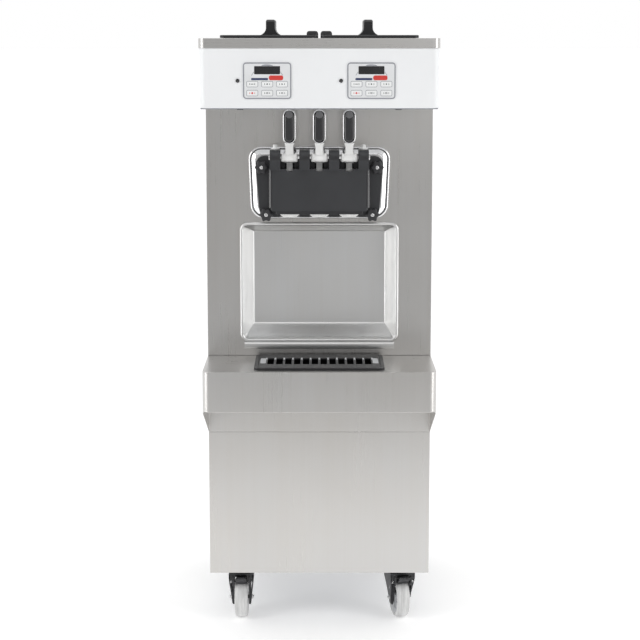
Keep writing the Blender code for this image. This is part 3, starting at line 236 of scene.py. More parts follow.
def rounded_ring(sides, inset=(0.0, 0.0, 0.0), radius=0.01, taper=0.0, segments=6):
    """Points round a box (left, right, bottom, top) with round corners, drawn in by (each side, bottom, top).

    The box is narrower at the bottom by the taper on each side.
    """
    left, right, bottom, top = sides
    across, below, above = inset
    left, right = left + across, right - across
    bottom, top = bottom + below, top - above
    radius = max(radius - (across + below + above) / 3, SMALLEST_RADIUS)
    centres = [
        (right - radius, top - radius),
        (left + radius, top - radius),
        (left + radius, bottom + radius),
        (right - radius, bottom + radius),
    ]
    points = []
    for quarter, (u, v) in enumerate(centres):
        for step in range(segments + 1):
            angle = math.pi / 2 * (quarter + step / segments)
            points.append((u + radius * math.cos(angle), v + radius * math.sin(angle)))
    middle = (left + right) / 2
    share = taper / (right - left) * 2
    tapered = []
    for u, v in points:
        fall = (top - v) / (top - bottom)
        tapered.append((middle + (u - middle) * (1 - share * fall), v))
    return tapered


def on_plane(points, plane, level):
    """Flat points put on a front plane at the level's Y, a top plane at its Z or a side plane at its X."""
    if plane == "front":
        return [Vector((u, level, v)) for u, v in points]
    if plane == "top":
        return [Vector((u, v, level)) for u, v in points]
    return [Vector((level, u, v)) for u, v in points]


def add_loft(bm, rings, loop=False):
    """Joins rings of points in order and caps both ends, or with loop joins the last ring to the first.

    A ring of one point is a pole.
    """
    rows = [[bm.verts.new(point) for point in ring] for ring in rings]
    pairs = list(zip(rows, rows[1:]))
    if loop:
        pairs.append((rows[-1], rows[0]))
    for near, far in pairs:
        count = max(len(near), len(far))
        for i in range(count):
            after = (i + 1) % count
            corners = [near[i % len(near)], near[after % len(near)], far[after % len(far)], far[i % len(far)]]
            bm.faces.new(list(dict.fromkeys(corners)))
    for row in () if loop else (rows[0], rows[-1]):
        if len(row) > 2:
            bm.faces.new(row)


def add_shape(bm, sides, radius, steps, plane="front", taper=0.0, segments=6, loop=False):
    """A loft of rounded boxes in steps of (inset, level). An inset is one number or (side, bottom, top)."""
    rings = []
    for inset, level in steps:
        insets = inset if isinstance(inset, tuple) else (inset, inset, inset)
        rings.append(on_plane(rounded_ring(sides, insets, radius, taper, segments), plane, level))
    add_loft(bm, rings, loop)


def add_block(bm, low, high, bevel=0.0008, segments=2, turn=None):
    """A box with rounded edges, turned about its middle if a rotation is given."""
    low, high = Vector(low), Vector(high)
    size = Matrix.Diagonal((*(high - low), 1.0))
    spin = turn.to_4x4() if turn else Matrix.Identity(4)
    place = Matrix.Translation((low + high) / 2)
    made = bmesh.ops.create_cube(bm, size=1.0, matrix=place @ spin @ size)
    edges = list(dict.fromkeys(edge for vert in made["verts"] for edge in vert.link_edges))
    bmesh.ops.bevel(bm, geom=edges, offset=bevel, segments=segments, profile=0.5, affect="EDGES")


def add_brick(bm, centre, half, bevel=0.0008, segments=2, turn=None):
    """The same kind of box, by its centre and half sizes."""
    add_block(bm, Vector(centre) - Vector(half), Vector(centre) + Vector(half), bevel, segments, turn)


def add_turned(bm, profile, place, direction=(0, 0, 1), sides=32, lobes=0, depth=0.0, loop=False):
    """A profile of (radius, height) swept round an axis. With lobes, its outline waves by the depth."""
    turn = facing(direction)
    widest = max(radius for radius, _ in profile)
    rings = []
    for radius, height in profile:
        ring = []
        for angle in arc(1 if radius < POLE else sides)[:-1]:
            reach = radius + depth * radius / widest * math.cos(lobes * angle)
            ring.append(Vector(place) + turn @ Vector((*polar(reach, angle), height)))
        rings.append(ring)
    add_loft(bm, rings, loop)


def add_rod(bm, start, end, radius):
    """A pin with broken edges between two points."""
    run = Vector(end) - Vector(start)
    small = radius - ROD_CHAMFER
    profile = [(small, 0.0), (radius, ROD_CHAMFER), (radius, run.length - ROD_CHAMFER), (small, run.length)]
    add_turned(bm, profile, start, run, 20)


def add_pipe(bm, points, radius, sides=10):
    """A round wire or pipe through a list of points."""
    points = [Vector(point) for point in points]
    rings = []
    for i, point in enumerate(points):
        turn = facing(points[min(i + 1, len(points) - 1)] - points[max(i - 1, 0)])
        rings.append([point + turn @ Vector((*polar(radius, angle), 0.0)) for angle in arc(sides)[:-1]])
    add_loft(bm, rings)


def bevel_sharp(bm, width, segments=2, angle=math.radians(35)):
    """Rounds every edge that turns by more than the angle."""
    edges = [edge for edge in bm.edges if len(edge.link_faces) == 2 and edge.calc_face_angle(0.0) > angle]
    settings = {"segments": segments, "profile": 0.5, "affect": "EDGES", "clamp_overlap": True}
    bmesh.ops.bevel(bm, geom=edges, offset=width, **settings)


def corner_normals(bm, angle):
    """A normal for each face corner, from the neighbours within the angle, weighted by their area."""
    limit = math.cos(math.radians(angle))
    areas = {face: face.calc_area() for face in bm.faces}
    normals = []
    for face in bm.faces:
        for loop in face.loops:
            total = face.normal * areas[face]
            for other in loop.vert.link_faces:
                if other is not face and other.normal.dot(face.normal) > limit:
                    total = total + other.normal * areas[other]
            normals.append(total.normalized() if total.length > 0 else face.normal.copy())
    return normals


def piece(name, bm, material, body, replaces=(), angle=40):
    """Finishes a mesh: its material, shading, body, material slot and the CAD nodes that it stands for."""
    bmesh.ops.recalc_face_normals(bm, faces=bm.faces)
    bm.normal_update()
    normals = corner_normals(bm, angle)
    mesh = bpy.data.meshes.new(name)
    bm.to_mesh(mesh)
    bm.free()
    mesh.materials.append(material)
    mesh.shade_smooth()
    mesh.normals_split_custom_set(normals)
    obj = bpy.data.objects.new(name, mesh)
    bpy.context.scene.collection.objects.link(obj)
    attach(obj, body)
    if replaces:
        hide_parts(*replaces)


def shape_piece(name, material, body, slot, sides, radius, steps, replaces=(), angle=40, **settings):
    """A piece that is one loft of rounded boxes."""
    bm = bmesh.new()
    add_shape(bm, sides, radius, steps, **settings)
    piece(name, bm, material, body, replaces, angle)


def turned_piece(name, material, body, slot, profile, place, direction, replaces=(), angle=40, **settings):
    """A piece that is one turned profile."""
    bm = bmesh.new()
    add_turned(bm, profile, place, direction, **settings)
    piece(name, bm, material, body, replaces, angle)


def cad_shape(node):
    """A copy of a CAD node's shape, with its flat faces whole again."""
    bm = bmesh.new()
    bm.from_mesh(frame["nodes"][node].data)
    bmesh.ops.remove_doubles(bm, verts=bm.verts, dist=1e-5)
    bmesh.ops.dissolve_limit(bm, angle_limit=FLAT_ANGLE, verts=bm.verts, edges=bm.edges)
    return bm


def refined(node, material, width=HEM, segments=2):
    """A CAD node's own shape with its edges rounded."""
    bm = cad_shape(node)
    bevel_sharp(bm, width, segments)
    piece(node + "_finished", bm, material, frame["nodes"][node]["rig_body"], (node,))


# Materials


def add_node(tree, kind, inputs=None, **settings):
    """A shader node with these settings. Each input is a value or a socket to link."""
    node = tree.nodes.new("ShaderNode" + kind)
    for name, value in settings.items():
        setattr(node, name, value)
    for name, value in (inputs or {}).items():
        if isinstance(value, bpy.types.NodeSocket):
            tree.links.new(value, node.inputs[name])
        else:
            node.inputs[name].default_value = value
    return node


def new_material(name, colour, roughness, metallic=0.0, **constants):
    material = bpy.data.materials.new(name)
    material.use_nodes = True
    material.diffuse_color = (*colour, 1.0)
    tree = material.node_tree
    inputs = tree.nodes["Principled BSDF"].inputs
    inputs["Base Color"].default_value = (*colour, 1.0)
    inputs["Roughness"].default_value = roughness
    inputs["Metallic"].default_value = metallic
    for key, value in constants.items():
        inputs[key.replace("_", " ")].default_value = value
    return material, tree


def drive(material, name, socket):
    tree = material.node_tree
    tree.links.new(socket, tree.nodes["Principled BSDF"].inputs[name])


def finish(material, colour, roughness, height=None, distance=0.0, strength=0.0):
    """Drives a material's colour and roughness, and its bump if there is a height."""
    drive(material, "Base Color", colour)
    drive(material, "Roughness", roughness)
    if height:
        inputs = {"Height": height, "Distance": distance, "Strength": strength}
        drive(material, "Normal", add_node(material.node_tree, "Bump", inputs).outputs["Normal"])
    return material


def object_point(tree):
    return add_node(tree, "TexCoord").outputs["Object"]


def noise(tree, scale, detail=3.0, roughness=0.55):
    """Noise over the object. The scale is one number, or one for each axis, which draws it into streaks."""
    point = object_point(tree)
    if isinstance(scale, tuple):
        point = add_node(tree, "Mapping", {"Vector": point, "Scale": scale}).outputs["Vector"]
        scale = 1.0
    inputs = {"Vector": point, "Scale": scale, "Detail": detail, "Roughness": roughness}
    return add_node(tree, "TexNoise", inputs).outputs["Fac"]


def remap(tree, value, low, high, from_low=0.3, from_high=0.7):
    inputs = {"Value": value, "From Min": from_low, "From Max": from_high, "To Min": low, "To Max": high}
    return add_node(tree, "MapRange", inputs).outputs["Result"]


def maths(tree, operation, first, second):
    return add_node(tree, "Math", {0: first, 1: second}, operation=operation).outputs["Value"]


def mix_colours(tree, factor, first, second):
    """Between two colours, each a socket or a (red, green, blue)."""
    inputs = {0: factor}
    for index, colour in ((6, first), (7, second)):
        inputs[index] = colour if isinstance(colour, bpy.types.NodeSocket) else (*colour, 1.0)
    return add_node(tree, "Mix", inputs, data_type="RGBA").outputs[2]


def tones(tree, factor, colour, dark, light):
    """Between a darker and a lighter tone of one colour."""
    shades = [tuple(min(channel * level, 1.0) for channel in colour) for level in (dark, light)]
    return mix_colours(tree, factor, *shades)


def edge_mask(tree, radius=0.0015):
    """1 along outer and inner edges and 0 on flat faces."""
    rounded = add_node(tree, "Bevel", {"Radius": radius}, samples=4).outputs["Normal"]
    normal = add_node(tree, "NewGeometry").outputs["Normal"]
    turn = add_node(tree, "VectorMath", {0: rounded, 1: normal}, operation="DOT_PRODUCT").outputs["Value"]
    return remap(tree, turn, 1.0, 0.0, 0.88, 0.995)


def brushed_steel(name, colour, roughness, streaks):
    """Steel with fine grain, cloudy patches and faint wipe marks. Streaks is the grain's scale on each axis."""
    material, tree = new_material(name, colour, roughness, 1.0, Anisotropic=0.35)
    grain = noise(tree, streaks, 5.0, 0.65)
    bands = noise(tree, tuple(value / 12 for value in streaks), 2.0)
    clouds = noise(tree, 2.6, 2.0)
    wipes = noise(tree, (9.0, 9.0, 3.5), 4.0, 0.6)
    tone = maths(tree, "ADD", remap(tree, grain, -0.3, 0.3), remap(tree, bands, -0.2, 0.2))
    tone = maths(tree, "ADD", tone, remap(tree, clouds, -0.6, 0.6))
    tone = remap(tree, tone, 0.0, 1.0, -1.0, 1.0)
    warm = (colour[0] * 0.965, colour[1] * 0.95, colour[2] * 0.93)
    cool = (colour[0] * 1.02, colour[1] * 1.03, colour[2] * 1.045)
    rough = remap(tree, grain, roughness - 0.03, roughness + 0.03)
    rough = maths(tree, "ADD", rough, remap(tree, wipes, -0.02, 0.03))
    return finish(material, mix_colours(tree, tone, warm, cool), rough, grain, 0.00003, 0.2)


def polished_steel(name, colour, roughness=0.07):
    """Mirror-like steel with hairline scratches and a breath of haze."""
    material, tree = new_material(name, colour, roughness, 1.0)
    haze = noise(tree, 14.0, 4.0)
    hairlines = noise(tree, (30.0, 30.0, 420.0), 6.0, 0.75)
    rough = remap(tree, haze, roughness * 0.6, roughness * 1.8)
    rough = maths(tree, "ADD", rough, remap(tree, hairlines, 0.0, 0.05, 0.62, 0.75))
    return finish(material, tones(tree, haze, colour, 0.95, 1.03), rough, hairlines, 0.00005, 0.25)


def moulded_plastic(name, colour, roughness, grain=900.0, depth=0.00004, worn=1.35, **constants):
    """Moulded plastic: spark-eroded grain, slow tone changes and lighter, smoother edges, partly rubbing wear
    and partly a painted edge highlight.
    """
    material, tree = new_material(name, colour, roughness, 0.0, **constants)
    texture = noise(tree, grain, 2.0)
    clouds = noise(tree, 11.0, 4.0)
    wear_and_highlight = edge_mask(tree)
    tone = tones(tree, remap(tree, clouds, 0.0, 1.0), colour, 0.90, 1.10)
    # The lighter edge colour is partly rubbing wear and partly a painted highlight along every edge.
    light = tuple(min(channel * worn, 1.0) for channel in colour)
    rough = remap(tree, clouds, roughness * 0.86, roughness * 1.18)
    rough = maths(tree, "ADD", rough, remap(tree, texture, -0.03, 0.03))
    rough = maths(tree, "SUBTRACT", rough, maths(tree, "MULTIPLY", wear_and_highlight, 0.08))
    return finish(material, mix_colours(tree, wear_and_highlight, tone, light), rough, texture, depth, 0.5)


def painted_sheet(name, colour, roughness):
    """Powder paint on sheet metal: a faint orange peel, with dust that dulls it in patches."""
    material, tree = new_material(name, colour, roughness, 0.0, Coat_Weight=0.25, Coat_Roughness=0.12)
    dust = noise(tree, 5.0, 5.0, 0.6)
    tone = tones(tree, remap(tree, dust, 0.0, 1.0), colour, 0.965, 1.0)
    rough = remap(tree, dust, roughness * 0.85, roughness * 1.25)
    return finish(material, tone, rough, noise(tree, 420.0, 2.0), 0.00006, 0.35)


def coated_steel(name, colour, roughness):
    """Black coated steel: a fine pebble, dust in patches and bare metal showing on rubbed edges."""
    material, tree = new_material(name, colour, roughness)
    dust = noise(tree, 16.0, 5.0, 0.65)
    chips = remap(tree, noise(tree, 140.0, 4.0), 0.0, 0.9, 0.5, 0.62)
    chips = maths(tree, "MULTIPLY", edge_mask(tree, 0.0012), chips)
    tone = tones(tree, remap(tree, dust, 0.0, 1.0), colour, 1.0, 1.9)
    drive(material, "Metallic", chips)
    rough = remap(tree, dust, roughness * 0.8, roughness * 1.3)
    tone = mix_colours(tree, chips, tone, BARE_STEEL)
    return finish(material, tone, rough, noise(tree, 520.0, 3.0), 0.00008, 0.4)


def zinc_plate(name, colour, roughness):
    """Galvanised sheet with large crystals of slightly different brightness."""
    material, tree = new_material(name, colour, roughness, 0.9)
    crystals = add_node(tree, "TexVoronoi", {"Vector": object_point(tree), "Scale": 90.0}).outputs["Color"]
    shade = add_node(tree, "SeparateColor", {"Color": crystals}).outputs["Red"]
    rough = remap(tree, shade, roughness * 0.8, roughness * 1.2, 0.0, 1.0)
    return finish(material, tones(tree, shade, colour, 0.86, 1.12), rough, noise(tree, 160.0), 0.0001, 0.3)


def tread_rubber(name, colour):
    """Light rubber: a faint moulding grain and grey scuffs."""
    material, tree = new_material(name, colour, 0.5)
    scuffs = noise(tree, (160.0, 22.0, 22.0), 5.0, 0.6)
    tone = tones(tree, remap(tree, scuffs, 0.0, 1.0), colour, 0.72, 1.08)
    return finish(material, tone, remap(tree, scuffs, 0.42, 0.62), noise(tree, 700.0, 2.0), 0.0001, 0.4)


def printed_film(name, colour):
    """Satin printed film: a weak grain, with small differences of tone."""
    material, tree = new_material(name, colour, SATIN)
    slow = noise(tree, 30.0)
    tone = tones(tree, slow, colour, 0.93, 1.04)
    rough = remap(tree, slow, SATIN * 0.9, SATIN * 1.15)
    return finish(material, tone, rough, noise(tree, 1100.0, 2.0), 0.00003, 0.4)


def clear_display(name, colour):
    """A dark, glossy window with faint finger smears."""
    material, tree = new_material(name, colour, 0.08, 0.0, Coat_Weight=0.6, Coat_Roughness=0.04)
    smears = noise(tree, (60.0, 60.0, 25.0), 4.0)
    return finish(material, tones(tree, smears, colour, 0.8, 1.6), remap(tree, smears, 0.05, 0.16))


STEEL = (0.60, 0.590, 0.575)
BARE_STEEL = (0.30, 0.30, 0.31)
SATIN = 0.42
upright_steel = brushed_steel("upright_steel", STEEL, 0.30, (420.0, 420.0, 2.0))
level_steel = brushed_steel("level_steel", STEEL, 0.28, (2.0, 420.0, 420.0))
# A lighter copy of the brushed steel for the splash pan and its lip: painted lighter, as though lit.
lit_steel = brushed_steel("lit_steel", (0.70, 0.70, 0.695), 0.31, (420.0, 420.0, 2.0))
mirror_steel = polished_steel("mirror_steel", (0.82, 0.82, 0.825))
tank_steel = polished_steel("tank_steel", (0.70, 0.70, 0.70), 0.16)
white_paint = painted_sheet("white_paint", (0.86, 0.87, 0.88), 0.32)
door_plastic = moulded_plastic("door_plastic", (0.030, 0.031, 0.034), 0.33, 700.0, 0.00004, 1.5)
# A plastic's last factor, worn in gloss, is how much lighter its edges are: partly wear, partly a painted
# highlight.
gloss = {"depth": 0.00001, "worn": 1.2}
flank_plastic = moulded_plastic("flank_plastic", (0.05, 0.05, 0.053), 0.14, 700.0, **gloss, Coat_Weight=0.6)
black_plastic = moulded_plastic("black_plastic", (0.018, 0.018, 0.020), 0.34)
knob_plastic = moulded_plastic("knob_plastic", (0.024, 0.024, 0.027), 0.42, 600.0, 0.00008)
lid_plastic = moulded_plastic("lid_plastic", (0.012, 0.012, 0.014), 0.38, 500.0, 0.00010)
gloss_black = moulded_plastic("gloss_black", (0.012, 0.012, 0.014), 0.10, 200.0, **gloss, Coat_Weight=0.8)
white_plastic = moulded_plastic("white_plastic", (0.80, 0.80, 0.79), 0.35, 800.0, 0.00004, 1.05)
pale_plastic = moulded_plastic("pale_plastic", (0.55, 0.56, 0.57), 0.40, 800.0, 0.00004, 1.1)
cap_plastic = moulded_plastic("cap_plastic", (0.12, 0.12, 0.125), 0.30, 800.0, 0.00004, 1.3)
black_enamel = coated_steel("black_enamel", (0.016, 0.016, 0.018), 0.38)
zinc = zinc_plate("zinc", (0.50, 0.51, 0.53), 0.42)
screw_steel = polished_steel("screw_steel", (0.66, 0.66, 0.66), 0.22)
grey_tread = tread_rubber("grey_tread", (0.66, 0.66, 0.655))
panel_film = printed_film("panel_film", (0.74, 0.75, 0.76))
panel_edge = printed_film("panel_edge", (0.26, 0.27, 0.30))
key_film = printed_film("key_film", (0.83, 0.84, 0.84))
icon_ink = printed_film("icon_ink", (0.035, 0.037, 0.045))
red_ink = printed_film("red_ink", (0.62, 0.045, 0.035))
blue_ink = printed_film("blue_ink", (0.035, 0.05, 0.12))
display_window = clear_display("display_window", (0.006, 0.006, 0.007))
copper = polished_steel("copper", (0.72, 0.38, 0.24), 0.24)


# Cabinet


def make_cabinet_panels():
    for node in PANELS:
        refined(node, upright_steel)
    refined("base_frame", zinc, 0.0004, 1)
    refined("cable_gland", black_plastic, 0.0008)


def add_louvre(bm, low, high, outward):
    """A pressed hood over a slot: a half-round eyebrow, open below. Outward is the way it stands out."""
    across = Vector((abs(outward[1]), abs(outward[0]), 0.0))
    start = Vector(low)
    width = (Vector(high) - start).dot(across)
    height = high[2] - low[2]
    outline = [(0.0, angle) for angle in arc(LOUVRE_ARC, math.pi / 2)]
    outline += [(SHEET * 0.6, angle) for _, angle in reversed(outline)]
    rings = []
    for i in range(LOUVRE_STATIONS + 1):
        share = i / LOUVRE_STATIONS
        swell = min(1.0, 2.8 * min(share, 1.0 - share) + 0.02) ** 0.5
        ring = []
        for inward, angle in outline:
            depth = (LOUVRE_REACH - inward) * swell
            spot = start + across * (width * share) + Vector(outward) * (depth * math.sin(angle))
            spot.z = low[2] + (height * 1.15 - inward) * math.cos(angle) - height * 0.15 * math.sin(angle)
            ring.append(spot)
        rings.append(ring)
    add_loft(bm, rings)


def louvre_heights(count, pitch, first, opening):
    return [(first + pitch * i, first + pitch * i + opening) for i in range(count)]


def make_louvres():
    """Nine hoods on each side and two banks of ten on the back, over the CAD's slots."""
    near, far = SIDE_LOUVRE_SPAN
    for side, sign in SIDES.items():
        low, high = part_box("side_panel_" + side)
        x = high.x if sign > 0 else low.x
        bm = bmesh.new()
        for bottom, top in louvre_heights(*SIDE_LOUVRES):
            add_louvre(bm, (x, near, bottom), (x, far, top), (sign, 0, 0))
        piece("side_louvres_" + side, bm, upright_steel, "cabinet")
    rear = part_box("rear_panel")[1].y
    bm = bmesh.new()
    for near, far in REAR_LOUVRE_SPANS:
        for bottom, top in louvre_heights(*REAR_LOUVRES):
            add_louvre(bm, (near, rear, bottom), (far, rear, top), (0, 1, 0))
    piece("rear_louvres", bm, upright_steel, "cabinet")


def add_screw(bm, place, direction, radius=0.0045):
    """A pan head with a cross recess."""
    dome = [(0.0, 0.0022), (radius * 0.5, 0.0020), (radius * 0.85, 0.0013)]
    dome += [(radius, 0.0003), (radius, -0.0004)]
    add_turned(bm, dome, place, direction, 20)
    turn = facing(direction)
    centre = Vector(place) + turn @ Vector((0.0, 0.0, 0.0021))
    for spin in (0.4, math.pi / 2 + 0.4):
        bar = turn @ Matrix.Rotation(spin, 3, "Z")
        add_brick(bm, centre, (radius * 0.62, radius * 0.13, 0.0003), 0.0001, 1, bar)


def make_panel_screws():
    """Screws along the edges of the side and rear panels."""
    bm = bmesh.new()
    low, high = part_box("rear_panel")
    for x in (low.x + 0.013, high.x - 0.013):
        for i in range(7):
            z = low.z + 0.03 + i * (high.z - low.z - 0.06) / 6
            add_screw(bm, (x, high.y, z), (0, 1, 0))
    for x in (-0.12, 0.0, 0.12):
        for z in (low.z + 0.012, high.z - 0.012):
            add_screw(bm, (x, high.y, z), (0, 1, 0))
    piece("rear_screws", bm, screw_steel, "cabinet")
    for side, sign in SIDES.items():
        low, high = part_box("side_panel_" + side)
        x = high.x if sign > 0 else low.x
        bm = bmesh.new()
        for i in range(6):
            z = low.z + 0.035 + i * (high.z - low.z - 0.12) / 5
            add_screw(bm, (x, high.y - 0.014, z), (sign, 0, 0))
        for y in (-0.13, 0.10):
            add_screw(bm, (x, y, low.z + 0.014), (sign, 0, 0))
        piece("side_screws_" + side, bm, screw_steel, "cabinet")


# Drip tray and splash panel


def make_drip_tray():
    """The shelf, the tray's frame and basin, and the grille with end pads and a pale rib behind each slot,
    painted as highlights on the bars' rear ends.
    """
    refined("drip_shelf", upright_steel, 0.0007, 3)
    refined("drip_tray", black_plastic, 0.0009, 3)
    refined("drip_grille", black_plastic, 0.0010, 3)
    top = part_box("drip_grille")[1].z
    middle = centre_of("drip_grille").y
    bm = bmesh.new()
    rise = [(0.0, top - 0.0005), (0.0, top + 0.0009), (0.0006, top + 0.0014), (0.0020, top + 0.0010)]
    for centre in (-GRILLE_PAD_X, GRILLE_PAD_X):
        add_shape(bm, (centre - 0.0065, centre + 0.0065, middle - 0.028, middle + 0.028), 0.003, rise, "top")
    piece("grille_pads", bm, pale_plastic, "grille")
    # Pale ribs at the rear ends of the bars: painted highlights.
    bm = bmesh.new()
    for i in range(GRILLE_RIB_HIGHLIGHTS):
        x = (i - GRILLE_RIB_HIGHLIGHTS // 2) * GRILLE_RIB_HIGHLIGHT_PITCH
        add_brick(bm, (x, middle + 0.02725, top + 0.00055), (0.0019, 0.00925, 0.00105), 0.0007)
    piece("grille_rib_highlights", bm, pale_plastic, "grille")


def make_splash_panel():
    """A pressed pan: a rolled rim, four slopes and a flat back, with a drip lip hooked under it."""
    low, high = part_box("splash_panel")
    lip_top = low.z + 0.0165
    sides = (low.x, high.x, low.z + 0.0155, high.z)
    mount = low.y + 0.0115
    back = high.y - SHEET
    rim = [(0.0, mount), (0.0, mount - 0.0012), (0.0012, mount - 0.0036), (0.0034, mount - 0.0050)]
    rim += [(0.0058, mount - 0.0050), (0.0080, mount - 0.0036), (0.0092, mount - 0.0008)]
    slope = []
    for i in range(1, PAN_STEPS + 1):
        share = i / PAN_STEPS
        fall = share - 0.12 * math.sin(2 * math.pi * share) / (2 * math.pi)
        inset = tuple(rim[-1][0] + (end - rim[-1][0]) * share for end in PAN_SLOPE)
        slope.append((inset, mount + (back - mount) * fall))
    flat = [(tuple(end + 0.0020 for end in PAN_SLOPE), back), (PAN_FLAT, back)]
    outline = (rim + slope + flat)[::-1]
    outline.append((0.0080, mount + 0.0002))
    for inset, level in slope:
        outline.append((tuple(value - SHEET for value in inset), level + SHEET))
    outline.append((PAN_FLAT, back + SHEET))
    shape_piece(
        "splash_pan", lit_steel, "cabinet", "brushed_stainless",
        sides, PAN_RADIUS, outline, ("splash_panel",), 50, segments=8,
    )
    profile = [(mount, lip_top), (low.y + 0.003, lip_top), (low.y + 0.0008, lip_top - 0.0022)]
    profile += [(low.y, lip_top - 0.005), (low.y, low.z + 0.0035), (low.y + 0.0012, low.z + 0.0008)]
    profile += [(low.y + 0.0035, low.z), (mount, low.z)]
    half = high.x - 0.0105
    bm = bmesh.new()
    add_loft(bm, [on_plane(profile, "side", x) for x in (-half, half)])
    bevel_sharp(bm, 0.0015, 3, math.radians(60))
    piece("splash_lip", bm, lit_steel, "cabinet")


# Head and controls


def make_head():
    """The white cover and the top deck, with clips, screws and a thin dark strip under the cover's front edge,
    a painted shadow of the gap there.
    """
    refined("head_cover", white_paint, 0.0007, 3)
    refined("top_deck", level_steel, 0.0007, 3)
    low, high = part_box("head_cover")
    for side, sign in SIDES.items():
        bm = bmesh.new()
        add_brick(bm, (sign * 0.180, low.y + 0.041, low.z - 0.0015), (0.011, 0.011, 0.0020), 0.001)
        add_brick(bm, (sign * 0.180, low.y + 0.041, low.z - 0.0040), (0.007, 0.007, 0.0010))
        piece("head_clip_" + side, bm, black_enamel, "cabinet")
        bm = bmesh.new()
        add_screw(bm, (sign * 0.219, low.y + 0.040, low.z), (0, 0, -1), 0.006)
        add_screw(bm, (sign * 0.060, low.y + 0.040, low.z), (0, 0, -1), 0.004)
        piece("head_screws_" + side, bm, screw_steel, "cabinet")
    # A thin dark strip under the cover's front edge: a painted shadow of the gap between the cover and the
    # panel.
    bm = bmesh.new()
    start = (low.x + 0.004, low.y + 0.0012, low.z - 0.0022)
    add_block(bm, start, (high.x - 0.004, low.y + 0.010, low.z + 0.0004), 0.0007)
    piece("head_edge_shadow_strip", bm, panel_edge, "cabinet")


def add_key_mark(bm, kind, x, y, z):
    """A plain mark on a key, between two short dashes: a bar, two bars, a ring, a triangle or a dot."""
    strokes = [(-0.0056, 0.0, 0.0006, 0.0016), (0.0056, 0.0, 0.0006, 0.0016)]
    if kind == "bar":
        strokes.append((0.0, 0.0, 0.0030, 0.0007))
    if kind == "pair":
        strokes += [(0.0, 0.0011, 0.0026, 0.0005), (0.0, -0.0011, 0.0026, 0.0005)]
    for across, up, wide, tall in strokes:
        add_brick(bm, (x + across, y - INK / 2, z + up), (wide, INK / 2, tall), 0.00005, 1)
    if kind in KEY_DISCS:
        radius, sides = KEY_DISCS[kind]
        add_turned(bm, [(radius, 0.0), (radius, INK)], (x, y, z), (0, -1, 0), sides)


def make_control_panel(side):
    """A printed film with a border, a display window under a hood line, two plain accents and the keys."""
    node = "control_panel_" + side
    low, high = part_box(node)
    centre, _, middle = centre_of(node)
    sides = (low.x, high.x, low.z, high.z)
    face = low.y
    border = [(0.0, high.y), (0.0, face + 0.0003), (0.0004, face), (0.0025, face), (0.0028, face + 0.0004)]
    shape_piece("panel_border_" + side, panel_edge, "cabinet", "overlay", sides, 0.007, border, (node,))
    film = [(0.0022, face + 0.0006), (0.0022, face + 0.0002), (0.0026, face - 0.0001)]
    shape_piece("panel_film_" + side, panel_film, "cabinet", "overlay", sides, 0.007, film)
    window = (centre - 0.029, centre + 0.029, middle + 0.0145, middle + 0.0325)
    pane = [(0.0, face), (0.0, face - 0.0004), (0.0004, face - 0.0006)]
    shape_piece(
        "display_window_" + side, display_window, "cabinet", "black_plastic", window, 0.0012, pane, segments=3
    )
    bm = bmesh.new()
    hood = []
    for angle in arc(14, math.pi):
        hood.append((centre + 0.013 * math.cos(angle), window[3] + 0.0006 + 0.0032 * math.sin(angle)))
    add_loft(bm, [on_plane(hood, "front", level) for level in (face, face - 0.0003)])
    for sign in (-1, 1):
        place = (centre + sign * 0.0325, face - 0.00015, window[2] + 0.00125)
        lean = Matrix.Rotation(math.radians(-35 * sign), 3, "Y")
        add_brick(bm, place, (0.0005, 0.00015, 0.00475), 0.0001, 1, lean)
    piece("display_hood_" + side, bm, panel_edge, "cabinet")
    print_steps = [(0.0, face), (0.0, face - 0.0003), (0.0003, face - PRINT)]
    for colour, ink, near, far, up, radius in (
        ("red", red_ink, 0.004, 0.036, 0.0118, 0.004),
        ("blue", blue_ink, -0.036, 0.002, 0.0062, 0.002),
    ):
        name = colour + "_accent_" + side
        block = (centre + near, centre + far, middle + 0.0012, middle + up)
        shape_piece(name, ink, "cabinet", "overlay", block, radius, print_steps, segments=4)
    make_keys(side, centre, middle, face)


def make_keys(side, centre, middle, face):
    """Two rows of three domed keys in thin rims, each with its mark. The mark of one key is red."""
    rims, caps, icons, red = bmesh.new(), bmesh.new(), bmesh.new(), bmesh.new()
    half, half_height, pitch = KEY
    rim = [(0.0, face), (0.0, face - PRINT), (0.0009, face - 0.0005), (0.0010, face)]
    cap = [(0.0009, face), (0.0010, face - 0.0006), (0.0022, face - 0.0009)]
    for drop, kinds in zip(KEY_ROWS, KEY_MARKS):
        z = middle + drop
        for column, kind in enumerate(kinds):
            x = centre + (column - 1) * pitch
            key = (x - half, x + half, z - half_height, z + half_height)
            add_shape(rims, key, 0.003, rim)
            add_shape(caps, key, 0.003, cap)
            add_key_mark(red if kind == "dot" else icons, kind, x, face - 0.0009, z)
    piece("key_rims_" + side, rims, panel_edge, "cabinet")
    piece("key_caps_" + side, caps, key_film, "cabinet")
    piece("key_icons_" + side, icons, icon_ink, "cabinet")
    piece("power_icon_" + side, red, red_ink, "cabinet")


def make_lamp(side):
    """A dark lens in a thin bezel."""
    node = "indicator_lamp_" + side
    place = centre_of(node)
    place.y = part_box(node)[1].y
    lens = [(0.0, 0.0032), (0.0016, 0.0029), (0.0028, 0.0021), (0.0034, 0.0012), (0.0034, 0.0)]
    name = "lamp_lens_" + side
    turned_piece(name, display_window, "cabinet", "black_plastic", lens, place, (0, -1, 0), (node,))
    rim = [(0.0033, 0.0), (0.0033, 0.0012), (0.0038, 0.0016), (0.0043, 0.0013), (0.0045, 0.0)]
    name = "lamp_bezel_" + side
    turned_piece(name, black_plastic, "cabinet", "black_plastic", rim, place, (0, -1, 0), loop=True)


# Hoppers and lids


def make_hopper(side):
    refined("hopper_" + side, tank_steel, 0.0005)
    refined("feed_tube_" + side, tank_steel, 0.0005)


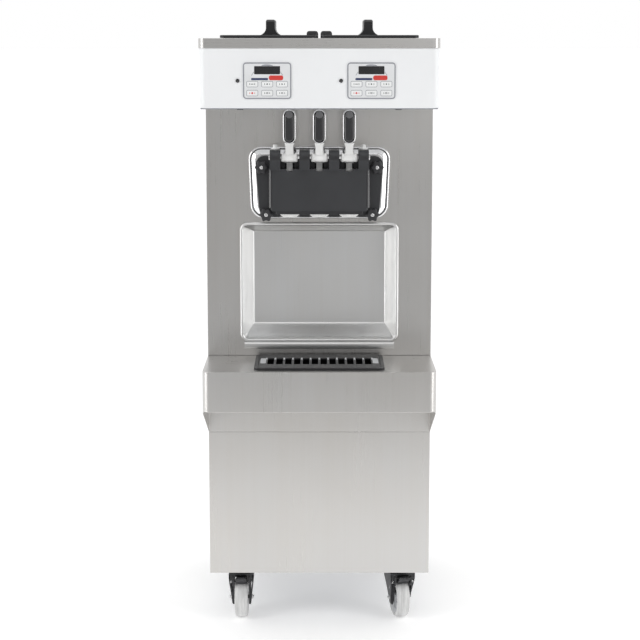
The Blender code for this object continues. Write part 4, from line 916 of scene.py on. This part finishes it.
def make_hopper_lid(side):
    """A tray-shaped lid: a skirt, a raised border, a sunk field with ribs, a finger hump and a fin."""
    node = "hopper_lid_" + side
    low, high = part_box(node)
    sign = SIDES[side]
    body = "lid_" + side
    centre, middle, _ = centre_of(node)
    top = low.z + 0.0067
    steps = [(0.0110, top - 0.0023), (0.0096, top - 0.0020), (0.0086, top - 0.0008), (0.0070, top)]
    steps += [(0.0022, top), (0.0006, top - 0.0006), (0.0, top - 0.0020), (0.0, low.z)]
    steps += [(0.0025, low.z), (0.0025, top - 0.0040)]
    bm = bmesh.new()
    add_shape(bm, (low.x, high.x, low.y, high.y), 0.012, steps, "top")
    for i in range(LID_RIBS):
        y = low.y + 0.045 + i * (high.y - low.y - 0.090) / (LID_RIBS - 1)
        for near, far in ((low.x + 0.020, centre - 0.045), (centre + 0.045, high.x - 0.020)):
            add_block(bm, (near, y - 0.002, top - 0.0030), (far, y + 0.002, top - 0.0006))
    piece("lid_body_" + side, bm, lid_plastic, body, (node,))
    make_lid_fin(side, body, centre, middle, top, high.z)
    near, far = sorted((sign * 0.003, sign * 0.032))
    hump = (near, far, middle - 0.045, middle + 0.045)
    rise = [(0.0, top - 0.003), (0.0, top + 0.004), (0.0010, top + 0.0080), (0.0035, top + 0.0107)]
    rise.append((0.0080, top + 0.0112))
    shape_piece("lid_hump_" + side, lid_plastic, body, "black_plastic", hump, 0.008, rise, plane="top")


def fin_outline(centre, base, top, half, foot):
    """A fin seen from the front: a flared foot on each side, straight flanks and a crowned top."""
    right = []
    for angle in arc(8, math.pi / 2):
        out, up = foot * (1 - math.sin(angle)), foot * 0.8 * (1 - math.cos(angle))
        right.append((half + out, base + 0.0015 + up))
    crown = 0.0045
    for angle in arc(8, math.pi / 2):
        out, up = polar(crown, angle)
        right.append((half - crown + out, top - crown + up))
    return [(centre + x, z) for x, z in right + [(-x, z) for x, z in reversed(right)]]


def make_lid_fin(side, body, centre, middle, base, top):
    """The fin is lofted along Y, lower and narrower at its ends, with a hand hollow on each flank."""
    bm = bmesh.new()
    rings = []
    for i in range(FIN_STATIONS + 1):
        share = i / FIN_STATIONS
        edge = min(share, 1.0 - share) * FIN_STATIONS / 3
        ends = math.sqrt(max(0.0, 1.0 - max(0.0, 1.0 - edge) ** 2))
        height = base + (top - base) * (0.86 + 0.14 * ends)
        waist = 1.0 - 0.16 * math.sin(math.pi * share) ** 2
        half = FIN_HALF * (0.90 + 0.10 * ends) * waist
        y = middle + FIN_LENGTH * (share - 0.5)
        rings.append(on_plane(fin_outline(centre, base - 0.0030, height, half, 0.0365 - half), "front", y))
    add_loft(bm, rings)
    piece("lid_fin_" + side, bm, lid_plastic, body)


# Freezer door


def make_face_plate():
    """A polished, pressed bezel with a rolled edge, a groove and a stepped inner band around the door."""
    low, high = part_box("face_plate")
    front, back = low.y, high.y
    steps = [(0.0008, back), (0.0, back - 0.0008)] + [(inset, front + depth) for inset, depth in BEZEL]
    shape_piece(
        "face_bezel", mirror_steel, "cabinet", "polished_stainless",
        (low.x, high.x, low.z, high.z), 0.032, steps, ("face_plate",), 60, taper=0.0065, segments=12,
    )


def make_freezer_door():
    """The moulded door with its barrel knuckles, two glossier shoulders and the bar behind the spouts."""
    bm = cad_shape("freezer_door")
    bevel_sharp(bm, 0.0014, 3, math.radians(28))
    piece("door_moulding", bm, door_plastic, "cabinet", ("freezer_door",), 30)
    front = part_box("freezer_door")[0].y
    pin = JOINTS["draw_handle_centre_pull"]["pos_m"]
    bm = bmesh.new()
    for x in KNUCKLE_X:
        add_knuckle(bm, x, pin[1], pin[2])
    piece("door_knuckles", bm, black_plastic, "cabinet")
    bm = bmesh.new()
    for sign in (-1, 1):
        add_flank(bm, sign, front + 0.0066)
    piece("door_flanks", bm, flank_plastic, "cabinet")
    bm = bmesh.new()
    add_block(bm, *SHROUD, 0.0016, 3)
    piece("spout_shroud", bm, black_plastic, "cabinet")


def add_knuckle(bm, x, y, z):
    """A barrel round the pivot pin, with a waist between two bands."""
    half = KNUCKLE_HALF
    barrel = [(0.0166, -half), (0.0178, -half + 0.0010), (0.0178, -half + 0.0048), (0.0169, -half + 0.0062)]
    bore = [(0.0052, half), (0.0052, -half)]
    add_turned(bm, with_mirror(barrel) + bore, (x, y, z), (1, 0, 0), 36, loop=True)


def add_flank(bm, sign, front):
    """A rounded, glossier shoulder down the side of the raised block."""
    outline = []
    for angle in arc(FLANK_STEPS, math.pi / 2):
        outline.append((sign * (0.1125 + 0.0058 * math.sin(angle)), front + 0.0100 * (1 - math.cos(angle))))
    outline += [(sign * 0.1183, front + 0.0330), (sign * 0.1125, front + 0.0330)]
    add_loft(bm, [on_plane(outline, "top", z) for z in FLANK_ENDS])


def make_pivot_pin():
    """The rod through the knuckles, with a domed head on each end."""
    low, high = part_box("pivot_pin")
    _, y, z = centre_of("pivot_pin")
    dome = [(0.0037, -0.0004), (0.0058, -0.0004), (0.0062, 0.0004), (0.0058, 0.0020), (0.0040, 0.0029)]
    dome.append((0.0, 0.0030))
    bm = bmesh.new()
    add_rod(bm, (low.x + 0.001, y, z), (high.x - 0.001, y, z), 0.0037)
    for x, way in ((low.x + 0.003, -1), (high.x - 0.003, 1)):
        add_turned(bm, dome, (x, y, z), (way, 0, 0), 24)
    piece("pivot_pin_finished", bm, mirror_steel, "cabinet", ("pivot_pin",))


def make_draw_valve(name):
    """The plunger, with two sealing rings."""
    node = "draw_valve_" + name
    refined(node, white_plastic)
    x = JOINTS["draw_handle_%s_pull" % name]["pos_m"][0]
    y = centre_of(node).y
    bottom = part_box(node)[0].z
    ring = []
    for angle in arc(12)[:-1]:
        out, up = polar(0.0011, angle)
        ring.append((0.0108 + out, up))
    bm = bmesh.new()
    for z in (bottom + 0.010, bottom + 0.034):
        add_turned(bm, ring, (x, y, z), loop=True)
    piece("valve_rings_" + name, bm, knob_plastic, "valve_" + name)


def make_draw_handle(name):
    """A white lever (yoke, finger and neck) with a glossy black grip in a bright oval frame."""
    pin = Vector(JOINTS["draw_handle_%s_pull" % name]["pos_m"])
    body = "handle_" + name
    make_lever(name, body, pin)
    make_grip(name, body, pin)


def make_lever(name, body, pin):
    """A grooved yoke round the pivot pin, a waisted neck, two ears and the finger that lifts the valve."""
    half = YOKE_HALF
    yoke = [(0.0046, -half), (0.0078, -half), (0.0088, -half + 0.0010), (0.0101, -half + 0.0034)]
    yoke += [(0.0101, -0.0120), (0.0096, -0.0112), (0.0096, -0.0092), (0.0101, -0.0084), (0.0101, -0.0020)]
    yoke = with_mirror(yoke + [(0.0097, -0.0014)])
    turned_piece(
        "lever_yoke_" + name, white_plastic, body, "white_plastic",
        yoke, pin, (1, 0, 0), ("draw_handle_" + name,), 50, sides=36, loop=True,
    )
    bm = bmesh.new()
    rings = []
    for z, wide, deep in LEVER_NECK:
        sides = (pin.x - wide, pin.x + wide, pin.y - deep, pin.y + deep)
        rings.append(on_plane(rounded_ring(sides, radius=0.0042), "top", pin.z + z))
    add_loft(bm, rings)
    for sign in (-1, 1):
        ear = pin + Vector((sign * 0.0160, -0.0040, 0.0036))
        add_brick(bm, ear, (0.0016, 0.0060, 0.0086), 0.0010, 3)
    finger = (pin.x - 0.0040, pin.x + 0.0040, pin.z - 0.0026, pin.z + 0.0026)
    reach = [(0.0, pin.y + 0.0060), (0.0, pin.y + 0.0210), (0.0008, pin.y + 0.0235), (0.0022, pin.y + 0.0245)]
    add_shape(bm, finger, 0.0022, reach)
    piece("lever_neck_" + name, bm, white_plastic, body)


def both_faces(front, back, steps):
    """Steps of (inset, depth) in from the front face, then the same back out to the rear face."""
    rear = [(inset, back - depth) for inset, depth in reversed(steps)]
    return [(inset, front + depth) for inset, depth in steps] + rear


def make_grip(name, body, pin):
    """A glossy core in a bright oval frame, with a cap and a small slot near its top."""
    top = pin.z + 0.1130
    front, back = pin.y - 0.0100, pin.y + 0.0100
    sides = (pin.x - 0.0155, pin.x + 0.0155, pin.z + 0.0320, top)
    frame_steps = both_faces(front, back, GRIP_FRAME)
    shape_piece(
        "grip_frame_" + name, mirror_steel, body, "polished_stainless",
        sides, GRIP_OVAL, frame_steps, (), 60, segments=10, loop=True,
    )
    core_steps = both_faces(front, back, GRIP_CORE)
    shape_piece(
        "grip_core_" + name, gloss_black, body, "black_grip",
        sides, GRIP_OVAL, core_steps, (), 60, segments=10,
    )
    button = [(0.0086, 0.0), (0.0086, 0.0012), (0.0076, 0.0019), (0.0040, 0.0022), (0.0, 0.0023)]
    place = (pin.x, front + 0.0010, top - 0.0120)
    turned_piece("grip_button_" + name, cap_plastic, body, "black_grip", button, place, (0, -1, 0), sides=28)
    slot = (pin.x - 0.0044, pin.x + 0.0044, top - 0.0240, top - 0.0195)
    steps = [(0.0, front + 0.0016), (0.0, front + 0.0001), (0.0006, front - 0.0003)]
    shape_piece("grip_slot_" + name, black_plastic, body, "black_grip", slot, 0.0020, steps)


def make_prime_plug(side):
    """A capped plug: a button, a collar and a stem with a ring."""
    node = "prime_plug_" + side
    body = "plug_" + side
    place = centre_of(node)
    place.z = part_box(node)[1].z - 0.0115
    turned_piece("plug_body_" + side, white_plastic, body, "white_plastic", PLUG, place, (0, 0, 1), (node,))


def make_hand_screw(name):
    """A star knob with six lobes and fluted hollows, a domed hub and the bright end of its stud."""
    node = "hand_screw_" + name
    body = "screw_" + name
    back = JOINTS[node + "_turn"]["pos_m"][1]
    low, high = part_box(node)
    x, _, z = centre_of(node)
    length = back - low.y
    knob = KNOB + [(0.0090, length - 0.0008), (0.0064, length - 0.0006), (0.0052, length - 0.0016)]
    knob.append((0.0, length - 0.0018))
    turned_piece(
        "knob_" + name, knob_plastic, body, "black_plastic",
        knob, (x, back, z), (0, -1, 0), (node,), 50, sides=72, lobes=6, depth=0.0018,
    )
    bm = bmesh.new()
    tip = [(0.0040, -0.0026), (0.0040, -0.0006), (0.0034, -0.0001), (0.0020, 0.0), (0.0, -0.0003)]
    add_turned(bm, tip, (x, low.y, z), (0, -1, 0), 28)
    add_rod(bm, (x, back + 0.0005, z), (x, high.y - 0.0005, z), 0.0037)
    piece("stud_" + name, bm, mirror_steel, body)


def make_star_nozzle(name):
    """A push-on cap with grip flutes and a star mouth."""
    node = "star_nozzle_" + name
    low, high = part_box(node)
    x, y, _ = centre_of(node)
    top = high.z - low.z
    outer = [(0.0150, 0.0020), (0.0162, 0.0024), (0.0190, 0.0042), (0.0220, 0.0072), (0.0228, 0.0088)]
    outer += [(0.0228, top - 0.0010), (0.0220, top)]
    inner = [(0.0180, top), (0.0176, 0.0095), (0.0140, 0.0052), (0.0096, 0.0050)]
    waves = [(radius, height, 0.0006 if radius > 0.0215 else 0.0, 24) for radius, height in outer + inner]
    waves += [(0.0078, 0.0050, 0.0030, 6), (0.0078, 0.0020, 0.0030, 6)]
    rings = []
    for radius, height, depth, lobes in waves:
        ring = []
        for angle in arc(72)[:-1]:
            out, along = polar(radius + depth * math.cos(lobes * angle), angle)
            ring.append(Vector((x + out, y + along, low.z + height)))
        rings.append(ring)
    bm = bmesh.new()
    add_loft(bm, rings, loop=True)
    piece("nozzle_" + name, bm, white_plastic, "cabinet", (node,), 45)


# Freezing and refrigeration, inside the cabinet


def make_freezing_side(side):
    """A freezing cylinder, its beater, and the gear motor with cooling fins and gearbox bolts."""
    refined("freezing_cylinder_" + side, tank_steel, 0.0005)
    refined("beater_" + side, white_plastic, 0.0004, 1)
    refined("gear_motor_" + side, black_enamel, 0.0010)
    node = "gear_motor_" + side
    x, front = centre_of(node).x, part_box(node)[0].y
    bm = bmesh.new()
    for angle in arc(MOTOR_FINS)[:-1]:
        out, up = polar(0.0495, angle)
        turn = Matrix.Rotation(-angle, 3, "Y")
        add_brick(bm, (x + out, 0.295, MOTOR_Z + up), (0.003, 0.050, 0.001), 0.0004, 1, turn)
    piece("motor_fins_" + side, bm, black_enamel, "cabinet")
    bolt = [(0.0, 0.004), (0.005, 0.0036), (0.0055, 0.0), (0.0, 0.0)]
    for i, (dx, dz) in enumerate(((-0.040, -0.045), (-0.040, 0.045), (0.040, -0.045), (0.040, 0.045))):
        name = "gearbox_bolt_%s_%d" % (side, i)
        place = (x + dx, front, MOTOR_Z + dz)
        turned_piece(name, screw_steel, "cabinet", "galvanised", bolt, place, (0, -1, 0), sides=6)


def make_refrigeration():
    """The compressor, the condenser with its fins and return bends, and the fan."""
    refined("compressor", black_enamel, 0.0012, 3)
    refined("condenser", zinc, 0.0005, 1)
    refined("condenser_fan", black_plastic, 0.0005, 1)
    low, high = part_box("condenser")
    bm = bmesh.new()
    for i in range(CONDENSER_FINS):
        x = low.x + 0.006 + i * (high.x - low.x - 0.012) / (CONDENSER_FINS - 1)
        start = (x - 0.0002, high.y - 0.0005, low.z + 0.008)
        add_block(bm, start, (x + 0.0002, high.y + 0.0040, high.z - 0.008), 0.0001, 1)
    piece("condenser_fins", bm, zinc, "cabinet")
    bm = bmesh.new()
    for i in range(CONDENSER_BENDS):
        z = low.z + 0.035 + i * 0.042
        add_pipe(bm, u_bend(high.x - 0.0005, (low.y + high.y) / 2 + 0.008, z), 0.0045)
    piece("condenser_bends", bm, copper, "cabinet")


def u_bend(x, y, z):
    """A return bend standing out of the condenser's side."""
    points = [Vector((x, y, z - 0.010))]
    for angle in arc(8, math.pi):
        points.append(Vector((x + 0.004 + 0.010 * math.sin(angle), y, z - 0.010 * math.cos(angle))))
    points.append(Vector((x, y, z + 0.010)))
    return points


# Casters


def turned_point(place, spin, point):
    """A point of an untwisted caster, put at its place and turned about its upright axis."""
    return Vector((place[0], place[1], 0.0)) + spin @ Vector(point)


def make_caster(corner):
    """A fork with a hood and axle nuts, a wheel and, in front, a brake."""
    swivel = JOINTS["caster_%s_swivel" % corner]["pos_m"]
    roll = JOINTS["caster_%s_roll" % corner]
    axle = Vector(roll["axis"]).normalized()
    spin = Matrix.Rotation(math.atan2(axle.y, axle.x), 3, "Z")
    hub = Vector(roll["pos_m"])
    make_fork(corner, swivel, spin, hub, axle)
    make_wheel(corner, hub, axle)
    if corner.startswith("front"):
        make_brake(corner, swivel, spin)


def add_cheek(bm, swivel, spin, sign):
    """A pressed cheek that leans in from the hood to the axle, with a return at its front."""
    rings = []
    for z, reach, front, back in CHEEK:
        inner = reach - CHEEK_THICKNESS
        corners = ((reach, front), (reach, back), (inner, back), (inner, front))
        rings.append([turned_point(swivel, spin, (sign * x, y, z)) for x, y in corners])
    add_loft(bm, rings)
    rings = []
    for z, reach, front, _ in CHEEK[:3]:
        corners = ((reach, front), (reach, front + 0.0024), (0.0150, front + 0.0024), (0.0150, front))
        rings.append([turned_point(swivel, spin, (sign * x, y, z)) for x, y in corners])
    add_loft(bm, rings)


def make_fork(corner, swivel, spin, hub, axle):
    """The fork, its ball race, its hood with two cheeks, and the axle's washers, nuts and ends."""
    body = "fork_" + corner
    node = "caster_fork_" + corner
    bm = cad_shape(node)
    bevel_sharp(bm, 0.0009, 3)
    piece("fork_" + corner, bm, black_enamel, body, (node,), 35)
    place = (swivel[0], swivel[1], 0.0)
    name = "fork_race_" + corner
    turned_piece(name, black_enamel, body, "black_enamel", BALL_RACE, place, (0, 0, 1), sides=40, loop=True)
    bm = bmesh.new()
    for sign in (-1, 1):
        add_cheek(bm, swivel, spin, sign)
    roof = [(-0.0310, -0.0640), (0.0310, -0.0640), (0.0310, 0.0180), (-0.0310, 0.0180)]
    add_loft(bm, [[turned_point(swivel, spin, (x, y, z)) for x, y in roof] for z in HOOD_ROOF])
    bevel_sharp(bm, 0.0012)
    piece("fork_hood_" + corner, bm, black_enamel, body)
    bm = bmesh.new()
    for outward in (-axle, axle):
        for sides, profile in AXLE_STACK:
            add_turned(bm, profile, hub + outward * 0.0226, outward, sides)
    piece("axle_nuts_" + corner, bm, screw_steel, body)


def make_wheel(corner, hub, axle):
    """A rounded tread on a ribbed disc."""
    body = "wheel_" + corner
    node = "caster_wheel_" + corner
    low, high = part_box(node)
    radius = (high.z - low.z) / 2
    half = WHEEL_HALF
    tread = [(radius - 0.0105, -half + 0.0012), (radius - 0.0070, -half), (radius - 0.0032, -half + 0.0012)]
    tread += [(radius - 0.0009, -half + 0.0042), (radius - 0.0002, -half + 0.0085), (radius, -0.0045)]
    turned_piece(
        "tread_" + corner, grey_tread, body, "grey_rubber",
        with_mirror(tread), hub, axle, (node,), sides=64, loop=True,
    )
    disc = [(0.0062, -half + 0.0005), (0.0120, -half + 0.0005), (0.0128, -half + 0.0020), (0.0140, -0.0085)]
    disc += [(0.0300, -0.0070), (0.0340, -half + 0.0040), (radius - 0.0110, -half + 0.0016)]
    bm = bmesh.new()
    add_turned(bm, with_mirror(disc), hub, axle, 48, loop=True)
    turn = facing(axle)
    for angle in arc(WHEEL_RIBS)[:-1]:
        out = turn @ Vector((*polar(1.0, angle), 0.0))
        across = axle.cross(out)
        rib = Matrix((out, across, axle)).transposed()
        add_brick(bm, hub + out * 0.0225, (0.0105, 0.0016, 0.0125), turn=rib)
    piece("wheel_disc_" + corner, bm, pale_plastic, body)


def make_brake(corner, swivel, spin):
    """The toe pedal with grip bars, and a coiled spring on each side of the fork."""
    node = "brake_pedal_" + corner
    bm = cad_shape(node)
    bevel_sharp(bm, 0.0008, 3)
    for i in range(PEDAL_GRIPS):
        place = turned_point(swivel, spin, (0.0, -0.0815 + i * 0.0042, 0.1141 - i * 0.00105))
        add_brick(bm, place, (0.011, 0.0009, 0.0010), 0.0004, 2, spin)
    piece("pedal_" + corner, bm, black_enamel, "pedal_" + corner, (node,), 35)
    bm = bmesh.new()
    for sign in (-1, 1):
        points = []
        for i, angle in enumerate(arc(24, 6 * math.pi)):
            along, up = polar(0.0034, angle)
            points.append((sign * (0.0235 + 0.0045 * i / 24), -0.060 + along, 0.098 + up))
        points += [(sign * 0.0285, -0.050, 0.088), (sign * 0.0285, -0.040, 0.076)]
        points = [turned_point(swivel, spin, point) for point in points]
        add_pipe(bm, points, 0.0008, 6)
    piece("brake_springs_" + corner, bm, screw_steel, "fork_" + corner)


# Floor, lights, world and camera


def make_floor():
    """A plain pale floor that reaches the horizon. It falls off to grey in front, which the steel mirrors."""
    bm = bmesh.new()
    bmesh.ops.create_grid(bm, x_segments=1, y_segments=1, size=FLOOR_REACH)
    mesh = bpy.data.meshes.new("floor")
    bm.to_mesh(mesh)
    bm.free()
    material, tree = new_material("floor_paint", (0.93, 0.93, 0.93), 0.75)
    depth = add_node(tree, "SeparateXYZ", {"Vector": object_point(tree)}).outputs["Y"]
    near = remap(tree, depth, 0.0, 1.0, *FLOOR_FADE)
    pale = mix_colours(tree, noise(tree, 0.6), (0.92, 0.92, 0.92), (0.94, 0.94, 0.94))
    drive(material, "Base Color", mix_colours(tree, near, FLOOR_FRONT, pale))
    drive(material, "Emission Strength", maths(tree, "MULTIPLY", near, FLOOR_GLOW))
    mesh.materials.append(material)
    floor = bpy.data.objects.new("floor", mesh)
    bpy.context.scene.collection.objects.link(floor)


def make_world():
    """White behind and beside the machine. In front it is greyer, which upright steel mirrors as mid grey."""
    world = bpy.data.worlds.new("studio")
    bpy.context.scene.world = world
    world.use_nodes = True
    tree = world.node_tree
    direction = add_node(tree, "TexCoord").outputs["Generated"]
    toward = add_node(tree, "SeparateXYZ", {"Vector": direction}).outputs["Y"]
    share = remap(tree, toward, 0.0, 1.0, *WORLD_FADE)
    background = tree.nodes["Background"]
    tree.links.new(mix_colours(tree, share, WORLD_FRONT, WORLD_BACK), background.inputs["Color"])


def add_softbox(name, place, aim, size, power):
    light = bpy.data.lights.new(name, "AREA")
    light.shape = "RECTANGLE"
    light.size, light.size_y = size
    light.energy = power
    obj = bpy.data.objects.new(name, light)
    obj.location = place
    obj.rotation_euler = (Vector(aim) - Vector(place)).to_track_quat("-Z", "Y").to_euler()
    bpy.context.scene.collection.objects.link(obj)


def make_lights():
    """Two tall softboxes beside the front, a high key and a soft fill."""
    for name, sign in SIDES.items():
        add_softbox("side_softbox_" + name, (sign * 2.3, -1.5, 1.3), (0.0, -0.2, 0.9), (0.9, 2.4), SIDE_POWER)
    add_softbox("key", (-0.6, -3.2, 3.4), (0.0, 0.0, 1.0), (2.2, 1.2), KEY_POWER)
    add_softbox("fill", (1.2, -4.2, 1.8), (0.0, 0.0, 0.8), (1.6, 1.6), FILL_POWER)


def make_camera():
    camera = bpy.data.cameras.new("camera")
    camera.sensor_width = CAMERA_SENSOR
    camera.lens = CAMERA_LENS
    camera.shift_y = CAMERA_SHIFT
    camera.clip_end = CAMERA_REACH
    obj = bpy.data.objects.new("camera", camera)
    obj.location = CAMERA_PLACE
    obj.rotation_euler = (math.radians(90.0 - CAMERA_PITCH), 0.0, 0.0)
    bpy.context.scene.collection.objects.link(obj)
    bpy.context.scene.camera = obj


make_cabinet_panels()
make_louvres()
make_panel_screws()
make_drip_tray()
make_splash_panel()
make_head()
make_face_plate()
make_freezer_door()
make_pivot_pin()
make_refrigeration()
for side in SIDES:
    make_control_panel(side)
    make_lamp(side)
    make_hopper(side)
    make_hopper_lid(side)
    make_prime_plug(side)
    make_freezing_side(side)
for spout in SPOUTS:
    make_draw_valve(spout)
    make_draw_handle(spout)
    make_star_nozzle(spout)
for screw in SCREWS:
    make_hand_screw(screw)
for corner in CORNERS:
    make_caster(corner)
make_floor()
make_world()
make_lights()
make_camera()
bpy.context.scene.view_settings.view_transform = "Standard"
